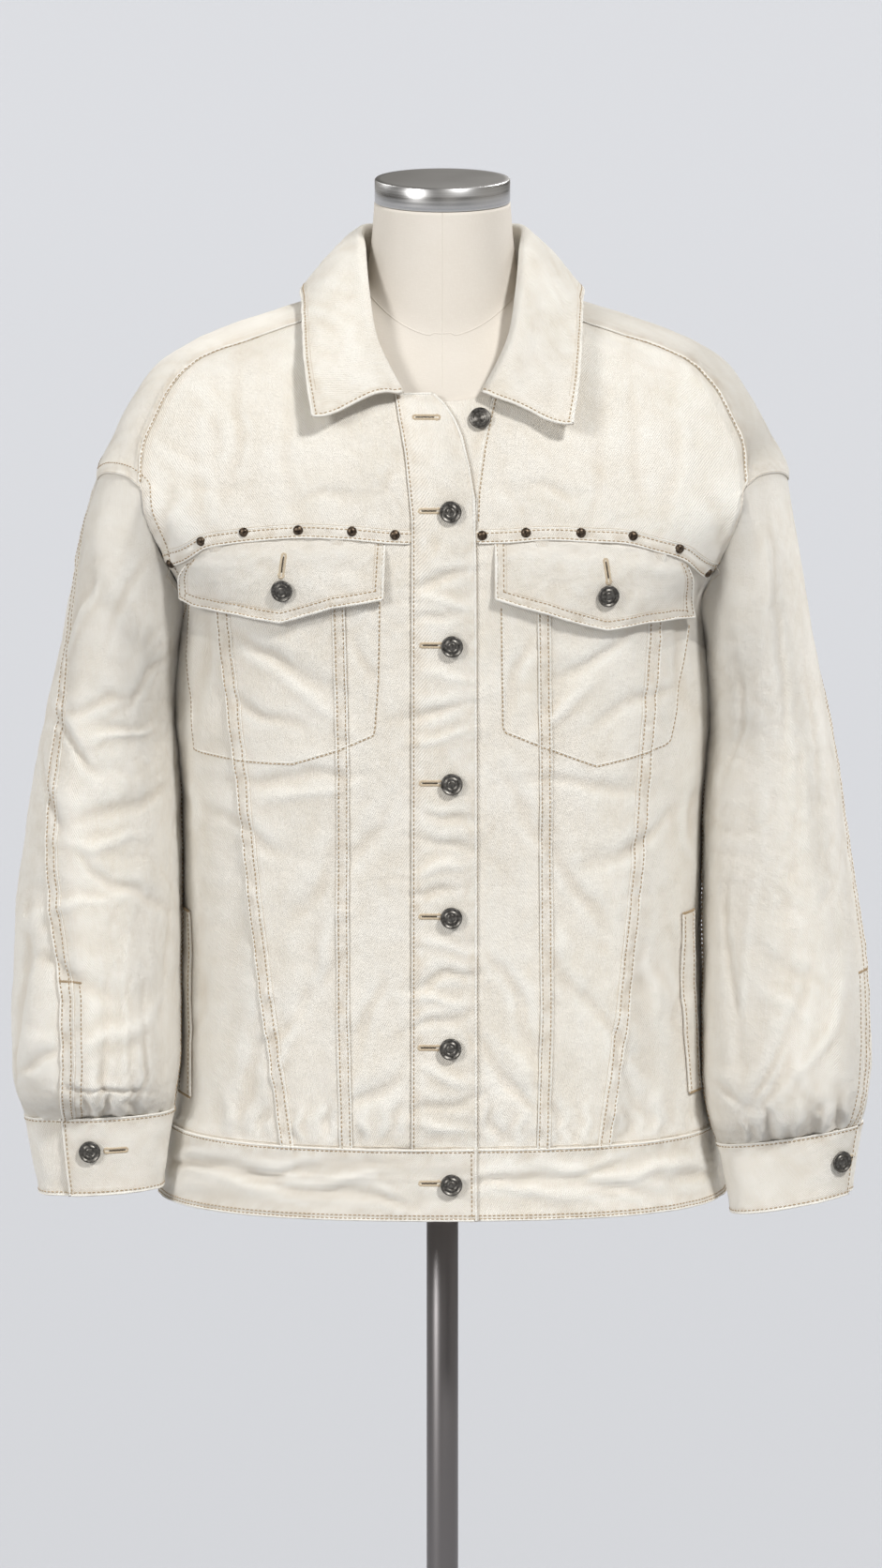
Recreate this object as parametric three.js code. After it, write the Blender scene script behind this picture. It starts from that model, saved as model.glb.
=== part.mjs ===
// Denim trucker jacket worn by a limbless dress form on a pole stand.
// Millimetres, +Z up. The front of the jacket faces -Y and +X is the viewer's right.
import * as THREE from 'three';

// Cloth sizes
const CLOTH = 1.6;
const DOUBLE_CLOTH = 2.0;
const COLLAR_CLOTH = 2.4;
const SEAM_INSET = 0.35;
const SLEEVE_INSET = 0.5;
const LAY_GAP = 0.45;
const FLAP_GAP = 1.2;
const UNDERLAP_DROP = 0.5;

// Stand sizes
const POLE_RADIUS = 12.4;
const BASE_RADIUS = 180;
const BASE_HEIGHT = 9;
const BASE_EDGE = 2;
const STAND_GAP = 0.3;
const FORM_BOTTOM = 735;
const CAP_TOP = 1490;
const CAP_BOTTOM = 1471.3;
const CAP_RADIUS = 53;

// Metal trims
const BUTTON_RADIUS = 8.6;
const BUTTON_HEIGHT = 4.2;
const STUD_RADIUS = 3.5;
const STUD_HEIGHT = 2.2;

const RAD = Math.PI / 180;

// Rings of the body, from the hem up to the neck seam
// columns: front z, side z, back z, half width, front depth, back depth, squareness
const BODY_RINGS = [
  [688, 690, 692, 222, 141, 120, 2.6],
  [743, 745, 747, 214, 138, 118, 2.6],
  [778, 778, 780, 208, 140, 120, 2.5],
  [900, 900, 900, 203, 136, 119, 2.5],
  [1030, 1030, 1030, 201, 134, 120, 2.5],
  [1120, 1130, 1125, 201, 132, 122, 2.5],
  [1160, 1172, 1165, 210, 131, 122, 2.6],
  [1196, 1212, 1203, 242, 129, 120, 2.75],
  [1230, 1252, 1238, 270, 126, 118, 2.7],
  [1260, 1288, 1272, 257, 122, 113, 2.6],
  [1280, 1316, 1302, 242, 117, 108, 2.5],
  [1296, 1340, 1327, 225, 111, 103, 2.45],
  [1308, 1356, 1346, 204, 105, 97, 2.4],
  [1316, 1366, 1360, 183, 101, 92, 2.35],
  [1324, 1379, 1376, 147, 96, 85, 2.3],
  [1330, 1392, 1389, 107, 91, 78, 2.2],
  [1335, 1402, 1397, 78, 87, 72, 2.1],
];
const BAND_LEVEL = 1;
const BAND_Z = 743;
const NECK_LEVEL = 16;
const UNDERARM_LEVEL = 5.2;
const NECK_FRONT_Z = 1334.2;
const BACK_YOKE_LEVEL = 7.75;

// Front half of an armhole, mirrored for the back: turn 0 is the outer top, 180 the underarm
// columns: turn, degrees from the side line, ring level
const ARMHOLE = [
  [0, 0, 8.0],
  [20, 9, 8.38],
  [40, 14, 8.51],
  [55, 17.2, 8.45],
  [70, 19, 8.28],
  [90, 20, 7.67],
  [110, 19, 6.95],
  [130, 16, 6.35],
  [155, 9.5, 5.6],
  [180, 0, UNDERARM_LEVEL],
];
const ARMHOLE_YOKE_TURN = 120;
// x of the chest seam at the armhole
const YOKE_REACH = 219;
const ARMHOLE_SHOULDER_TURN = 60;
const ARMHOLE_BACK_TURN = -96;
const TURN_STEP = 12;

// Shoulder seam from the armhole to the neck; columns: share, degrees from the side line, level
const SHOULDER_SEAM = [
  [0.2, 14.6, 9.3],
  [0.35, 13.5, 10.2],
  [0.5, 12.2, 11.2],
  [0.65, 11.2, 12.2],
  [0.8, 12, 13.4],
  [0.92, 16.5, 14.9],
];
const SHOULDER_NECK_DEGREES = 21;

// Chest yoke seam; columns: x, z
const YOKE_SEAM = {
  L: [[-207, 1200], [-185, 1215.5], [-155, 1222], [-112, 1226.5], [-71, 1225.5], [-38, 1222.7], [0, 1222.5]],
  R: [[207, 1187], [190, 1205], [167.6, 1214], [145, 1221], [114, 1223.5], [82, 1225.4], [50, 1223.4], [0, 1222.5]],
};

// Long front seams; columns: z, outer seam x, inner seam x
const FRONT_SEAMS = {
  L: [
    [744, -121.6, -75],
    [850, -136, -77.5],
    [961, -148.5, -77.7],
    [1045, -158.5, -77.5],
    [1165, -172, -80.8],
    [1224, -178, -82],
  ],
  R: [
    [744, 127.2, 78.6],
    [850, 140.5, 81.4],
    [961, 152.8, 80.6],
    [1045, 159.2, 80.5],
    [1165, 166.5, 79],
    [1224, 171, 77.5],
  ],
};

// Front edges; columns: z, x
const PANEL_EDGE_X = -18;
const PLACKET_EDGE = [[743, 26.8], [1000, 26.6], [1200, 26.2], [1256, 25.2], [1281, 21], [1304, 15], [1316, 9.6],
  [1327, 1.5], [1334, -7.5]];
const PLACKET_INNER = [[743, -24], [1240, -24], [1290, -29], [1316, -34], [1334, -37]];
const UNDERLAP_EDGE = [[743, 26], [1225, 26], [1262, 27.5], [1295, 32], [1320, 37.5], [1334, 41]];

// Flaps; columns: share, top x, top z, lower x, lower z
const FLAPS = {
  L: [
    [0, -203, 1196, -204, 1169],
    [0.12, -184, 1211, -186, 1166],
    [0.28, -158, 1218, -160, 1163],
    [0.5, -121, 1222.5, -126, 1158.3],
    [0.74, -80, 1222.5, -86, 1171.5],
    [1, -44.4, 1219.5, -46, 1178.5],
  ],
  R: [
    [0, 195.5, 1198, 200, 1153],
    [0.12, 180, 1206, 182, 1156.5],
    [0.28, 156, 1214, 160, 1156],
    [0.5, 121, 1219.5, 127.5, 1152.4],
    [0.74, 82, 1221.5, 82.5, 1166.5],
    [1, 40.9, 1219.5, 40.9, 1179],
  ],
};
const FLAP_LIFT = { L: 11, R: 4 };

// Welts; columns: z, outer degrees, inner degrees from the side line
const WELTS = {
  L: [[772, 8.6, 18], [845, 8.8, 16], [917, 9, 14]],
  R: [[777, 14.4, 20.6], [848, 14.4, 20.6], [919, 14.4, 20.6]],
};

// Sleeve rings from the armhole down to the cuff seam
// columns: outer x, outer z, inner x, inner z, middle y, half depth
const SLEEVE_RINGS = {
  L: [
    [279, 1224, 208, 1118, -4, 84],
    [287, 1187, 211.5, 1092, -6, 84],
    [300, 1120, 213, 1062, -8, 82],
    [310, 1075, 211, 1040, -10, 80],
    [320, 1025, 208.5, 1005, -14, 79],
    [328, 970, 206.5, 958, -20, 78],
    [334, 925, 206, 918, -26, 77],
    [337, 860, 206.5, 856, -36, 75],
    [337, 806, 207, 806, -46, 70],
    [334, 777, 208.5, 780, -53, 59],
    [326.5, 757.5, 211, 763, -60, 34],
  ],
  R: [
    [274, 1226, 208, 1118, -4, 84],
    [281, 1187, 211.5, 1092, -6, 84],
    [292, 1120, 213, 1062, -8, 82],
    [301, 1075, 211, 1040, -10, 80],
    [310, 1025, 208, 1005, -14, 79],
    [318, 970, 206, 958, -20, 78],
    [325.5, 925, 205.5, 918, -26, 77],
    [334, 860, 205.5, 852, -36, 75],
    [337, 806, 206, 790, -46, 70],
    [334.5, 772, 209, 757, -53, 59],
    [328.5, 752, 216, 736, -60, 34],
  ],
};
// Cuff rings; same columns
const CUFF_RINGS = {
  L: [
    [326.5, 757.5, 211, 763, -60, 34],
    [321, 727, 215.5, 732, -61, 33],
    [315, 697, 220, 702.5, -62, 32],
  ],
  R: [
    [328.5, 752, 216, 736, -60, 34],
    [324.5, 725, 222, 708, -61, 33],
    [320.5, 698, 227.5, 681.5, -62, 32],
  ],
};
const SLEEVE_SQUARENESS = 2.15;
const SLEEVE_ENDS = 11;
// Outer sleeve seam; columns: ring level, left turn, right turn
const SLEEVE_SEAM = [
  [0, -24, -36],
  [1, -10, -32],
  [2, 10, -27],
  [3, 30, -20],
  [4, 39, -12],
  [5, 43, -6],
  [6, 50, 2],
  [7, 58, 10],
  [8, 69, 18],
  [9, 70, 22],
  [10, 68, 25],
  [11, 65, 28],
];
const UNDERARM_TURN = 180;
const CUFF_OVER_TURN = { L: 60, R: 24 };
const CUFF_LAP = 40;

// Pleats let into each cuff; columns: turn, width in degrees, depth
const PLEATS = {
  L: [[83, 8, 3.2], [98, 8, 3.0], [118, 9, 2.2], [240, 24, 2.2], [300, 24, 2.0]],
  R: [[52, 9, 2.6], [72, 9, 2.8], [104, 10, 2.0], [240, 24, 2.2], [300, 24, 2.0]],
};
// Large sleeve folds; columns: turn, ring level, half length in degrees, half width in levels, depth, slope
const SLEEVE_FOLDS = {
  L: [
    [70, 4.9, 50, 0.45, 3.0, 0.012],
    [100, 6.1, 45, 0.5, 3.0, -0.014],
    [60, 7.3, 45, 0.45, 2.6, 0.016],
    [120, 8.4, 40, 0.45, 2.4, -0.012],
    [250, 5.4, 60, 0.5, 3.2, 0.01],
    [280, 7.2, 55, 0.5, 3.0, -0.012],
  ],
  R: [
    [95, 5.2, 50, 0.5, 2.6, -0.014],
    [60, 6.8, 50, 0.55, 2.6, 0.012],
    [110, 8.3, 40, 0.45, 2.6, 0.012],
    [250, 5.6, 60, 0.5, 3.0, -0.01],
    [285, 7.4, 55, 0.5, 3.0, 0.012],
  ],
};
// Soft waves in the hanging cloth of the body; columns: degrees, half width in degrees, top z, depth
const BODY_WAVES = [
  [-143, 7, 1080, 2.0],
  [-128, 7, 1000, -1.6],
  [-40, 7, 1040, 1.8],
  [-52, 6, 980, -1.4],
  [28, 9, 1120, 4.0],
  [55, 9, 1160, -3.4],
  [80, 10, 1180, 3.6],
  [108, 9, 1170, -3.2],
  [131, 9, 1150, 4.0],
  [154, 8, 1080, -3.0],
];

// Collar, half of it from the back middle to the front end
// columns: neck x y z, roll x y z, edge x y z
const COLLAR = [
  [0, 73, 1397.9, 0, 68, 1439, 0, 108, 1386],
  [46, 60, 1400, 40, 58, 1443, 62, 96, 1392],
  [75.5, 22, 1402.3, 62, 22, 1448, 106, 42, 1398],
  [77.5, -17, 1400.9, 62, -22, 1437, 109, -22, 1395],
  [66, -52, 1380.4, 58.5, -58, 1407, 108, -64, 1372],
  [54, -65.5, 1367.5, 51.5, -77, 1379, 106, -93, 1349],
  [35.5, -81, 1349.5, 31.5, -91, 1345, 101, -113, 1321],
];
const COLLAR_FOLD = 3.4;

// Front buttons, top one undone; columns: x, z, distance of the button seat from the body surface
const FRONT_BUTTONS = [
  [29.4, 1316, -1.3],
  [6.6, 1246.4, 2.3],
  [7.7, 1141.7, 2.9],
  [7.3, 1033.1, 2.9],
  [6.9, 927.9, 2.9],
  [6.2, 824.3, 2.9],
  [6.8, 717, 2.9],
];
const FLAP_BUTTONS = { L: [-125, 1183.9], R: [128.3, 1180.3] };
const CUFF_BUTTONS = { L: [76, 0.5], R: [44, 0.5] };
// Studs on the yoke seam; columns: x, z
const STUDS = [
  [-212, 1198], [-188.5, 1219.5], [-155.1, 1228.5], [-112.5, 1231.5], [-70.6, 1231], [-37, 1228.5],
  [31, 1228], [65, 1230], [107.8, 1229.5], [148.5, 1226], [184.8, 1214], [207, 1190],
];

// Form rings above and below the part that follows the jacket; same columns as the body rings
const FORM_LOWER = [
  [FORM_BOTTOM, FORM_BOTTOM, FORM_BOTTOM, 146, 94, 88, 2.3],
  [745, 745, 745, 151, 98, 92, 2.3],
  [860, 860, 860, 148, 97, 90, 2.3],
  [980, 980, 980, 136, 92, 84, 2.3],
  [1110, 1110, 1110, 155, 104, 97, 2.3],
  [1215, 1215, 1215, 174, 110, 103, 2.35],
  [1285, 1300, 1290, 186, 103, 96, 2.4],
];
const FORM_SHOULDER_LEVELS = [12.6, 13.3, 14, 14.6, 15.2, 15.85];
const FORM_CLEARANCE = 2.2;
const FORM_UPPER = [
  [1347, 1402, 1399, 70, 76, 63, 2.1],
  [1374, 1408, 1406, 63, 64, 60, 2],
  [1402, 1418, 1416, 59.2, 59.2, 58.5, 2],
  [1436, 1440, 1440, 55.6, 55.6, 55.6, 2],
  [1471, 1471, 1471, 53.2, 53.2, 53.2, 2],
];

// Smooth interpolation between the rows of a table
function blendRows(rows, level) {
  const last = rows.length - 1;
  const v = Math.min(Math.max(level, 0), last);
  const i = Math.min(Math.floor(v), last - 1);
  const f = v - i;
  const p0 = rows[Math.max(i - 1, 0)];
  const p1 = rows[i];
  const p2 = rows[i + 1];
  const p3 = rows[Math.min(i + 2, last)];
  return p1.map((_, k) => {
    const m1 = (p2[k] - p0[k]) / 2;
    const m2 = (p3[k] - p1[k]) / 2;
    return (2 * f ** 3 - 3 * f * f + 1) * p1[k] + (f ** 3 - 2 * f * f + f) * m1
      + (3 * f * f - 2 * f ** 3) * p2[k] + (f ** 3 - f * f) * m2;
  });
}

// Straight interpolation in a table keyed by its first column
function lookUp(rows, key) {
  const up = rows[0][0] <= rows[rows.length - 1][0];
  let i = 0;
  while (i < rows.length - 2 && (up ? rows[i + 1][0] < key : rows[i + 1][0] > key)) {
    i += 1;
  }
  const [a, b] = [rows[i], rows[i + 1]];
  const f = Math.min(Math.max((key - a[0]) / (b[0] - a[0]), 0), 1);
  return a.map((value, k) => value + (b[k] - value) * f);
}

function easeStep(low, high, value) {
  const f = Math.min(Math.max((value - low) / (high - low), 0), 1);
  return f * f * (3 - 2 * f);
}

function hump(value, middle, half) {
  const f = Math.abs(value - middle) / half;
  return f < 1 ? (1 + Math.cos(Math.PI * f)) / 2 : 0;
}

function turnApart(a, b) {
  return ((a - b + 540) % 360 + 360) % 360 - 180;
}

// Point of a ring at an angle in degrees; 0 is +X, -90 the front
function ringPoint(ring, degrees) {
  const [zFront, zSide, zBack, a, bFront, bBack, n] = ring;
  const c = Math.cos(degrees * RAD);
  const s = Math.sin(degrees * RAD);
  const b = s < 0 ? bFront : bBack;
  const zEnd = s < 0 ? zFront : zBack;
  const r = ((Math.abs(c) / a) ** n + (Math.abs(s) / b) ** n) ** (-1 / n);
  const share = Math.min(1, Math.abs(r * s) / b);
  return new THREE.Vector3(r * c, r * s, zSide + (zEnd - zSide) * share * share);
}

function bodyWave(degrees, z) {
  let depth = 0;
  for (const [middle, half, top, size] of BODY_WAVES) {
    const fade = easeStep(top, top - 160, z) * easeStep(746, 800, z);
    depth += size * hump(turnApart(degrees, middle), 0, half) * fade;
  }
  return depth;
}

function bodySurface(degrees, level) {
  const ring = blendRows(BODY_RINGS, level);
  return ringPoint(ring, degrees);
}

// A point of the jacket body, moved out by a distance along the normal
function bodyPoint(degrees, level, out, forward = 0) {
  const dv = level > NECK_LEVEL - 0.02 ? -0.01 : 0.01;
  const p = bodySurface(degrees, level);
  const across = bodySurface(degrees + 0.2, level).sub(bodySurface(degrees - 0.2, level));
  const up = bodySurface(degrees, level + dv).sub(p).multiplyScalar(Math.sign(dv));
  const normal = across.cross(up).normalize();
  p.addScaledVector(normal, out + bodyWave(degrees, p.z));
  p.y -= forward;
  return p;
}

// The whole armhole, with a row past each end
const ARMHOLE_BACK = ARMHOLE.slice(1).reverse().map(([turn, fromSide, level]) => [-turn, -fromSide, level]);
const ARMHOLE_ROUND = [
  [-205, 9.5, 5.6],
  ...ARMHOLE_BACK,
  ...ARMHOLE,
  [205, -9.5, 5.6],
];

// Angle and level of the front point of the body at x, z
function frontSpot(x, z) {
  const heightAt = (level) => {
    const [zFront, zSide, , a, , , n] = blendRows(BODY_RINGS, level);
    const u = Math.abs(x) / a;
    if (u >= 0.9995) {
      return null;
    }
    const share = (1 - u ** n) ** (1 / n);
    return zSide + (zFront - zSide) * share * share;
  };
  let best = [0, Infinity];
  let [from, to] = [0, NECK_LEVEL];
  for (let pass = 0; pass < 4; pass += 1) {
    for (let step = 0; step <= 64; step += 1) {
      const level = from + (to - from) * step / 64;
      const height = heightAt(level);
      if (height !== null && Math.abs(height - z) < best[1]) {
        best = [level, Math.abs(height - z)];
      }
    }
    const reach = (to - from) / 40;
    [from, to] = [Math.max(best[0] - reach, 0), Math.min(best[0] + reach, NECK_LEVEL)];
  }
  const [, , , a, b, , n] = blendRows(BODY_RINGS, best[0]);
  const y = -b * (1 - Math.min(Math.abs(x) / a, 0.9995) ** n) ** (1 / n);
  return [Math.atan2(y, x) / RAD, best[0]];
}

// Degrees on the left run from -180 at the side to -90 at the front; on the right from 0 to -90
function frontDegrees(side, fromSide) {
  return side === 'L' ? -180 + fromSide : -fromSide;
}

// Spot of the armhole at a turn, which counts on below 0 for the back half
function armholeSpot(side, turn) {
  const around = ((turn + 180) % 360 + 360) % 360 - 180;
  const [, fromSide, level] = smoothTable(ARMHOLE_ROUND, around);
  return [frontDegrees(side, fromSide), level];
}

// Smooth interpolation in a table keyed by its first column
function smoothTable(rows, key) {
  let i = 0;
  while (i < rows.length - 2 && rows[i + 1][0] < key) {
    i += 1;
  }
  const f = (key - rows[i][0]) / (rows[i + 1][0] - rows[i][0]);
  return blendRows(rows, i + f);
}

// Cloth between an outer and an inner grid of points, closed along its four edges
function clothSolid(outer, inner) {
  const rows = outer.length;
  const columns = outer[0].length;
  const positions = [];
  for (const grid of [outer, inner]) {
    for (const line of grid) {
      for (const p of line) {
        positions.push(p.x, p.y, p.z);
      }
    }
  }
  const at = (layer, r, c) => layer * rows * columns + r * columns + c;
  const faces = [];
  const quad = (a, b, c, d) => faces.push(a, b, c, a, c, d);
  for (let r = 0; r < rows - 1; r += 1) {
    for (let c = 0; c < columns - 1; c += 1) {
      quad(at(0, r, c), at(0, r, c + 1), at(0, r + 1, c + 1), at(0, r + 1, c));
      quad(at(1, r, c), at(1, r + 1, c), at(1, r + 1, c + 1), at(1, r, c + 1));
    }
  }
  for (let c = 0; c < columns - 1; c += 1) {
    quad(at(1, 0, c), at(1, 0, c + 1), at(0, 0, c + 1), at(0, 0, c));
    quad(at(0, rows - 1, c), at(0, rows - 1, c + 1), at(1, rows - 1, c + 1), at(1, rows - 1, c));
  }
  for (let r = 0; r < rows - 1; r += 1) {
    quad(at(0, r, 0), at(0, r + 1, 0), at(1, r + 1, 0), at(1, r, 0));
    quad(at(1, r, columns - 1), at(1, r + 1, columns - 1), at(0, r + 1, columns - 1), at(0, r, columns - 1));
  }
  return facingOut(positions, faces);
}

// Geometry whose faces look outward whichever way its grid ran
function facingOut(positions, faces) {
  let volume = 0;
  const p = (i) => new THREE.Vector3(positions[3 * i], positions[3 * i + 1], positions[3 * i + 2]);
  for (let i = 0; i < faces.length; i += 3) {
    volume += p(faces[i]).dot(p(faces[i + 1]).cross(p(faces[i + 2])));
  }
  const turned = volume < 0 ? faces.slice().reverse() : faces;
  const geometry = new THREE.BufferGeometry();
  geometry.setAttribute('position', new THREE.Float32BufferAttribute(positions, 3));
  geometry.setIndex(turned);
  return geometry;
}

// Pull the edges of a grid in, so that neighbouring pieces keep a seam gap
function insetEdges(grid, inset) {
  const rows = grid.length;
  const columns = grid[0].length;
  const pull = (p, q) => p.add(q.clone().sub(p).setLength(inset));
  const copy = grid.map((line) => line.map((p) => p.clone()));
  for (let c = 0; c < columns; c += 1) {
    pull(copy[0][c], grid[1][c]);
    pull(copy[rows - 1][c], grid[rows - 2][c]);
  }
  for (let r = 0; r < rows; r += 1) {
    pull(copy[r][0], grid[r][1]);
    pull(copy[r][columns - 1], grid[r][columns - 2]);
  }
  return copy;
}

// Spots between four edges, each edge a function of its share 0 to 1
function spread(bottom, top, left, right, s, t) {
  const [b, u, l, r] = [bottom(s), top(s), left(t), right(t)];
  const [c00, c10, c01, c11] = [bottom(0), bottom(1), top(0), top(1)];
  return [0, 1].map((k) => (1 - t) * b[k] + t * u[k] + (1 - s) * l[k] + s * r[k]
    - (1 - s) * (1 - t) * c00[k] - s * (1 - t) * c10[k] - (1 - s) * t * c01[k] - s * t * c11[k]);
}

// A piece of cloth on the body between four edges
function bodyPiece(edges, across, up, outerGap, thickness, lift = () => 0) {
  const { bottom, top, left, right } = edges;
  const grid = (out) => {
    const lines = [];
    for (let r = 0; r <= up; r += 1) {
      const line = [];
      for (let c = 0; c <= across; c += 1) {
        const [degrees, level] = spread(bottom, top, left, right, c / across, r / up);
        line.push(bodyPoint(degrees, level, out, lift(c / across, r / up)));
      }
      lines.push(line);
    }
    return insetEdges(lines, SEAM_INSET);
  };
  return clothSolid(grid(outerGap), grid(outerGap - thickness));
}

// An edge through spots given as rows of share, degrees, level
function edgeThrough(rows) {
  return (share) => lookUp(rows, share).slice(1);
}

// Front seam x at a height
function seamX(side, column, z) {
  return lookUp(FRONT_SEAMS[side], z)[column];
}

function yokeSeamZ(side, x) {
  const rows = YOKE_SEAM[side].slice().sort((a, b) => a[0] - b[0]);
  return smoothTable(rows, Math.min(Math.max(x, rows[0][0]), rows[rows.length - 1][0]))[1];
}

// Spot of the chest seam at x, running into the armhole past the last row of its table
function yokeSpot(side, x) {
  const ends = Math.abs(YOKE_SEAM[side][0][0]);
  if (Math.abs(x) <= ends) {
    return frontSpot(x, yokeSeamZ(side, x));
  }
  const last = frontSpot(Math.sign(x) * ends, yokeSeamZ(side, Math.sign(x) * ends));
  const goal = armholeSpot(side, ARMHOLE_YOKE_TURN);
  const f = (Math.abs(x) - ends) / (YOKE_REACH - ends);
  return last.map((value, k) => value + (goal[k] - value) * f);
}

// Edge up the front, x given at each height, from the band to the chest seam
function seamColumn(xAt, zHigh) {
  return (t) => {
    const z = BAND_Z + (zHigh - BAND_Z) * t;
    const [degrees, level] = frontSpot(xAt(z), z);
    return [degrees, t === 0 ? BAND_LEVEL : level];
  };
}

function bandEdge(degreesFrom, degreesTo) {
  return (share) => [degreesFrom + (degreesTo - degreesFrom) * share, BAND_LEVEL];
}

// Rows and columns of the front pieces, so that they share their corners along a seam
const PANEL_ROWS = 15;
const CENTRE_COLUMNS = 3;
const MIDDLE_COLUMNS = 4;
const SIDE_COLUMNS = 5;
const SHOULDER_ROWS = 8;
const BACK_COLUMNS = 18;
const BAND_COLUMNS = 50;
const CUFF_COLUMNS = 34;

// Front panel between two edges given as x at a height
function frontPanel(side, outerX, innerX, across) {
  const [topOuter, topInner] = [findTop(side, outerX), findTop(side, innerX)];
  const [fromX, toX] = [outerX(topOuter), innerX(topInner)];
  const left = seamColumn(outerX, topOuter);
  const right = seamColumn(innerX, topInner);
  const top = (s) => yokeSpot(side, fromX + (toX - fromX) * s);
  const bottom = bandEdge(left(0)[0], right(0)[0]);
  return bodyPiece({ bottom, top, left, right }, across, PANEL_ROWS, 0, CLOTH);
}

// Height where an edge meets the yoke seam
function findTop(side, xAt) {
  let z = 1220;
  for (let i = 0; i < 6; i += 1) {
    z = yokeSeamZ(side, xAt(z));
  }
  return z;
}

// Panel at the side, from the side line and the armhole to the outer front seam
function sidePanel(side) {
  const holeRows = (180 - ARMHOLE_YOKE_TURN) / TURN_STEP;
  const xAt = (z) => seamX(side, 1, z);
  const topZ = findTop(side, xAt);
  const topX = xAt(topZ);
  const right = seamColumn(xAt, topZ);
  const left = sideEdge(side, 1 - holeRows / PANEL_ROWS, ARMHOLE_YOKE_TURN, 0);
  const top = (s) => yokeSpot(side, Math.sign(topX) * (YOKE_REACH + (Math.abs(topX) - YOKE_REACH) * s));
  const bottom = bandEdge(left(0)[0], right(0)[0]);
  return bodyPiece({ bottom, top, left, right }, SIDE_COLUMNS, PANEL_ROWS, 0, CLOTH);
}

// Edge up the side line to the underarm, then round the armhole to a turn
function sideEdge(side, bend, lastTurn, added) {
  return (t) => {
    if (t <= bend) {
      return [frontDegrees(side, 0) + added, BAND_LEVEL + (UNDERARM_LEVEL - BAND_LEVEL) * t / bend];
    }
    const start = lastTurn < 0 ? -180 : 180;
    const [degrees, level] = armholeSpot(side, start + (lastTurn - start) * (t - bend) / (1 - bend));
    return [degrees + added, level];
  };
}

// Shoulder seam from the armhole to the neck
function shoulderEdge(side, added) {
  const [start, level] = armholeSpot(side, ARMHOLE_SHOULDER_TURN);
  const rows = [[0, start, level]];
  for (const [share, fromSide, at] of SHOULDER_SEAM) {
    rows.push([share, frontDegrees(side, fromSide), at]);
  }
  rows.push([1, frontDegrees(side, SHOULDER_NECK_DEGREES), NECK_LEVEL]);
  return (t) => {
    const [, degrees, at] = smoothTable(rows, t);
    return [degrees + added, at];
  };
}

// Front yoke between the front edge, the chest seam, the armhole, the shoulder seam and the neck
function frontYoke(side) {
  const innerRows = side === 'L' ? PLACKET_INNER : UNDERLAP_EDGE;
  const sign = side === 'L' ? -1 : 1;
  const innerX = (z) => lookUp(innerRows, z)[1];
  const lowZ = findTop(side, innerX);
  const inner = (t) => {
    const z = lowZ + (NECK_FRONT_Z - lowZ) * t;
    return frontSpot(innerX(z), z);
  };
  const columns = CENTRE_COLUMNS + MIDDLE_COLUMNS + SIDE_COLUMNS;
  const seamAt = (column) => Math.abs(seamX(side, column, findTop(side, (z) => seamX(side, column, z))));
  const corners = [[0, Math.abs(innerX(lowZ))], [CENTRE_COLUMNS, seamAt(2)],
    [CENTRE_COLUMNS + MIDDLE_COLUMNS, seamAt(1)], [columns, YOKE_REACH]];
  const bottom = (s) => yokeSpot(side, sign * lookUp(corners, s * columns)[1]);
  const shoulder = shoulderEdge(side, 0);
  const holeRows = (ARMHOLE_YOKE_TURN - ARMHOLE_SHOULDER_TURN) / TURN_STEP;
  const rows = holeRows + SHOULDER_ROWS;
  const bend = holeRows / rows;
  const outer = (t) => {
    if (t <= bend) {
      return armholeSpot(side, ARMHOLE_YOKE_TURN + (ARMHOLE_SHOULDER_TURN - ARMHOLE_YOKE_TURN) * t / bend);
    }
    return shoulder((t - bend) / (1 - bend));
  };
  const neckEnd = inner(1);
  const top = (s) => [neckEnd[0] + (frontDegrees(side, SHOULDER_NECK_DEGREES) - neckEnd[0]) * s,
    neckEnd[1] + (NECK_LEVEL - neckEnd[1]) * Math.min(1, s * 4)];
  return bodyPiece({ bottom, top, left: inner, right: outer }, columns, rows, 0, CLOTH);
}

// Back yoke, which comes forward over both shoulders
function backYoke() {
  const holeColumns = (ARMHOLE_SHOULDER_TURN - ARMHOLE_BACK_TURN) / TURN_STEP;
  const columns = 2 * holeColumns + BACK_COLUMNS;
  const hole = holeColumns / columns;
  const sweep = ARMHOLE_BACK_TURN - ARMHOLE_SHOULDER_TURN;
  const leftHole = (share) => {
    const [degrees, level] = armholeSpot('L', ARMHOLE_SHOULDER_TURN + sweep * share);
    return [degrees + 360, level];
  };
  const rightHole = (share) => armholeSpot('R', ARMHOLE_SHOULDER_TURN + sweep * share);
  const bottom = (s) => {
    if (s <= hole) {
      return leftHole(s / hole);
    }
    if (s >= 1 - hole) {
      return rightHole((1 - s) / hole);
    }
    return backSeam((s - hole) / (1 - 2 * hole));
  };
  const neckFrom = 180 + SHOULDER_NECK_DEGREES;
  const top = (s) => [neckFrom + (-SHOULDER_NECK_DEGREES - neckFrom) * s, NECK_LEVEL];
  const edges = { bottom, top, left: shoulderEdge('L', 360), right: shoulderEdge('R', 0) };
  return bodyPiece(edges, columns, SHOULDER_ROWS, 0, CLOTH);
}

// Seam across the back from the left armhole to the right one
function backSeam(share) {
  const [from, level] = armholeSpot('R', ARMHOLE_BACK_TURN);
  const fall = BACK_YOKE_LEVEL - level;
  return [180 - from + (2 * from - 180) * share, level + fall * Math.sin(Math.PI * share) ** 0.5];
}

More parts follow.
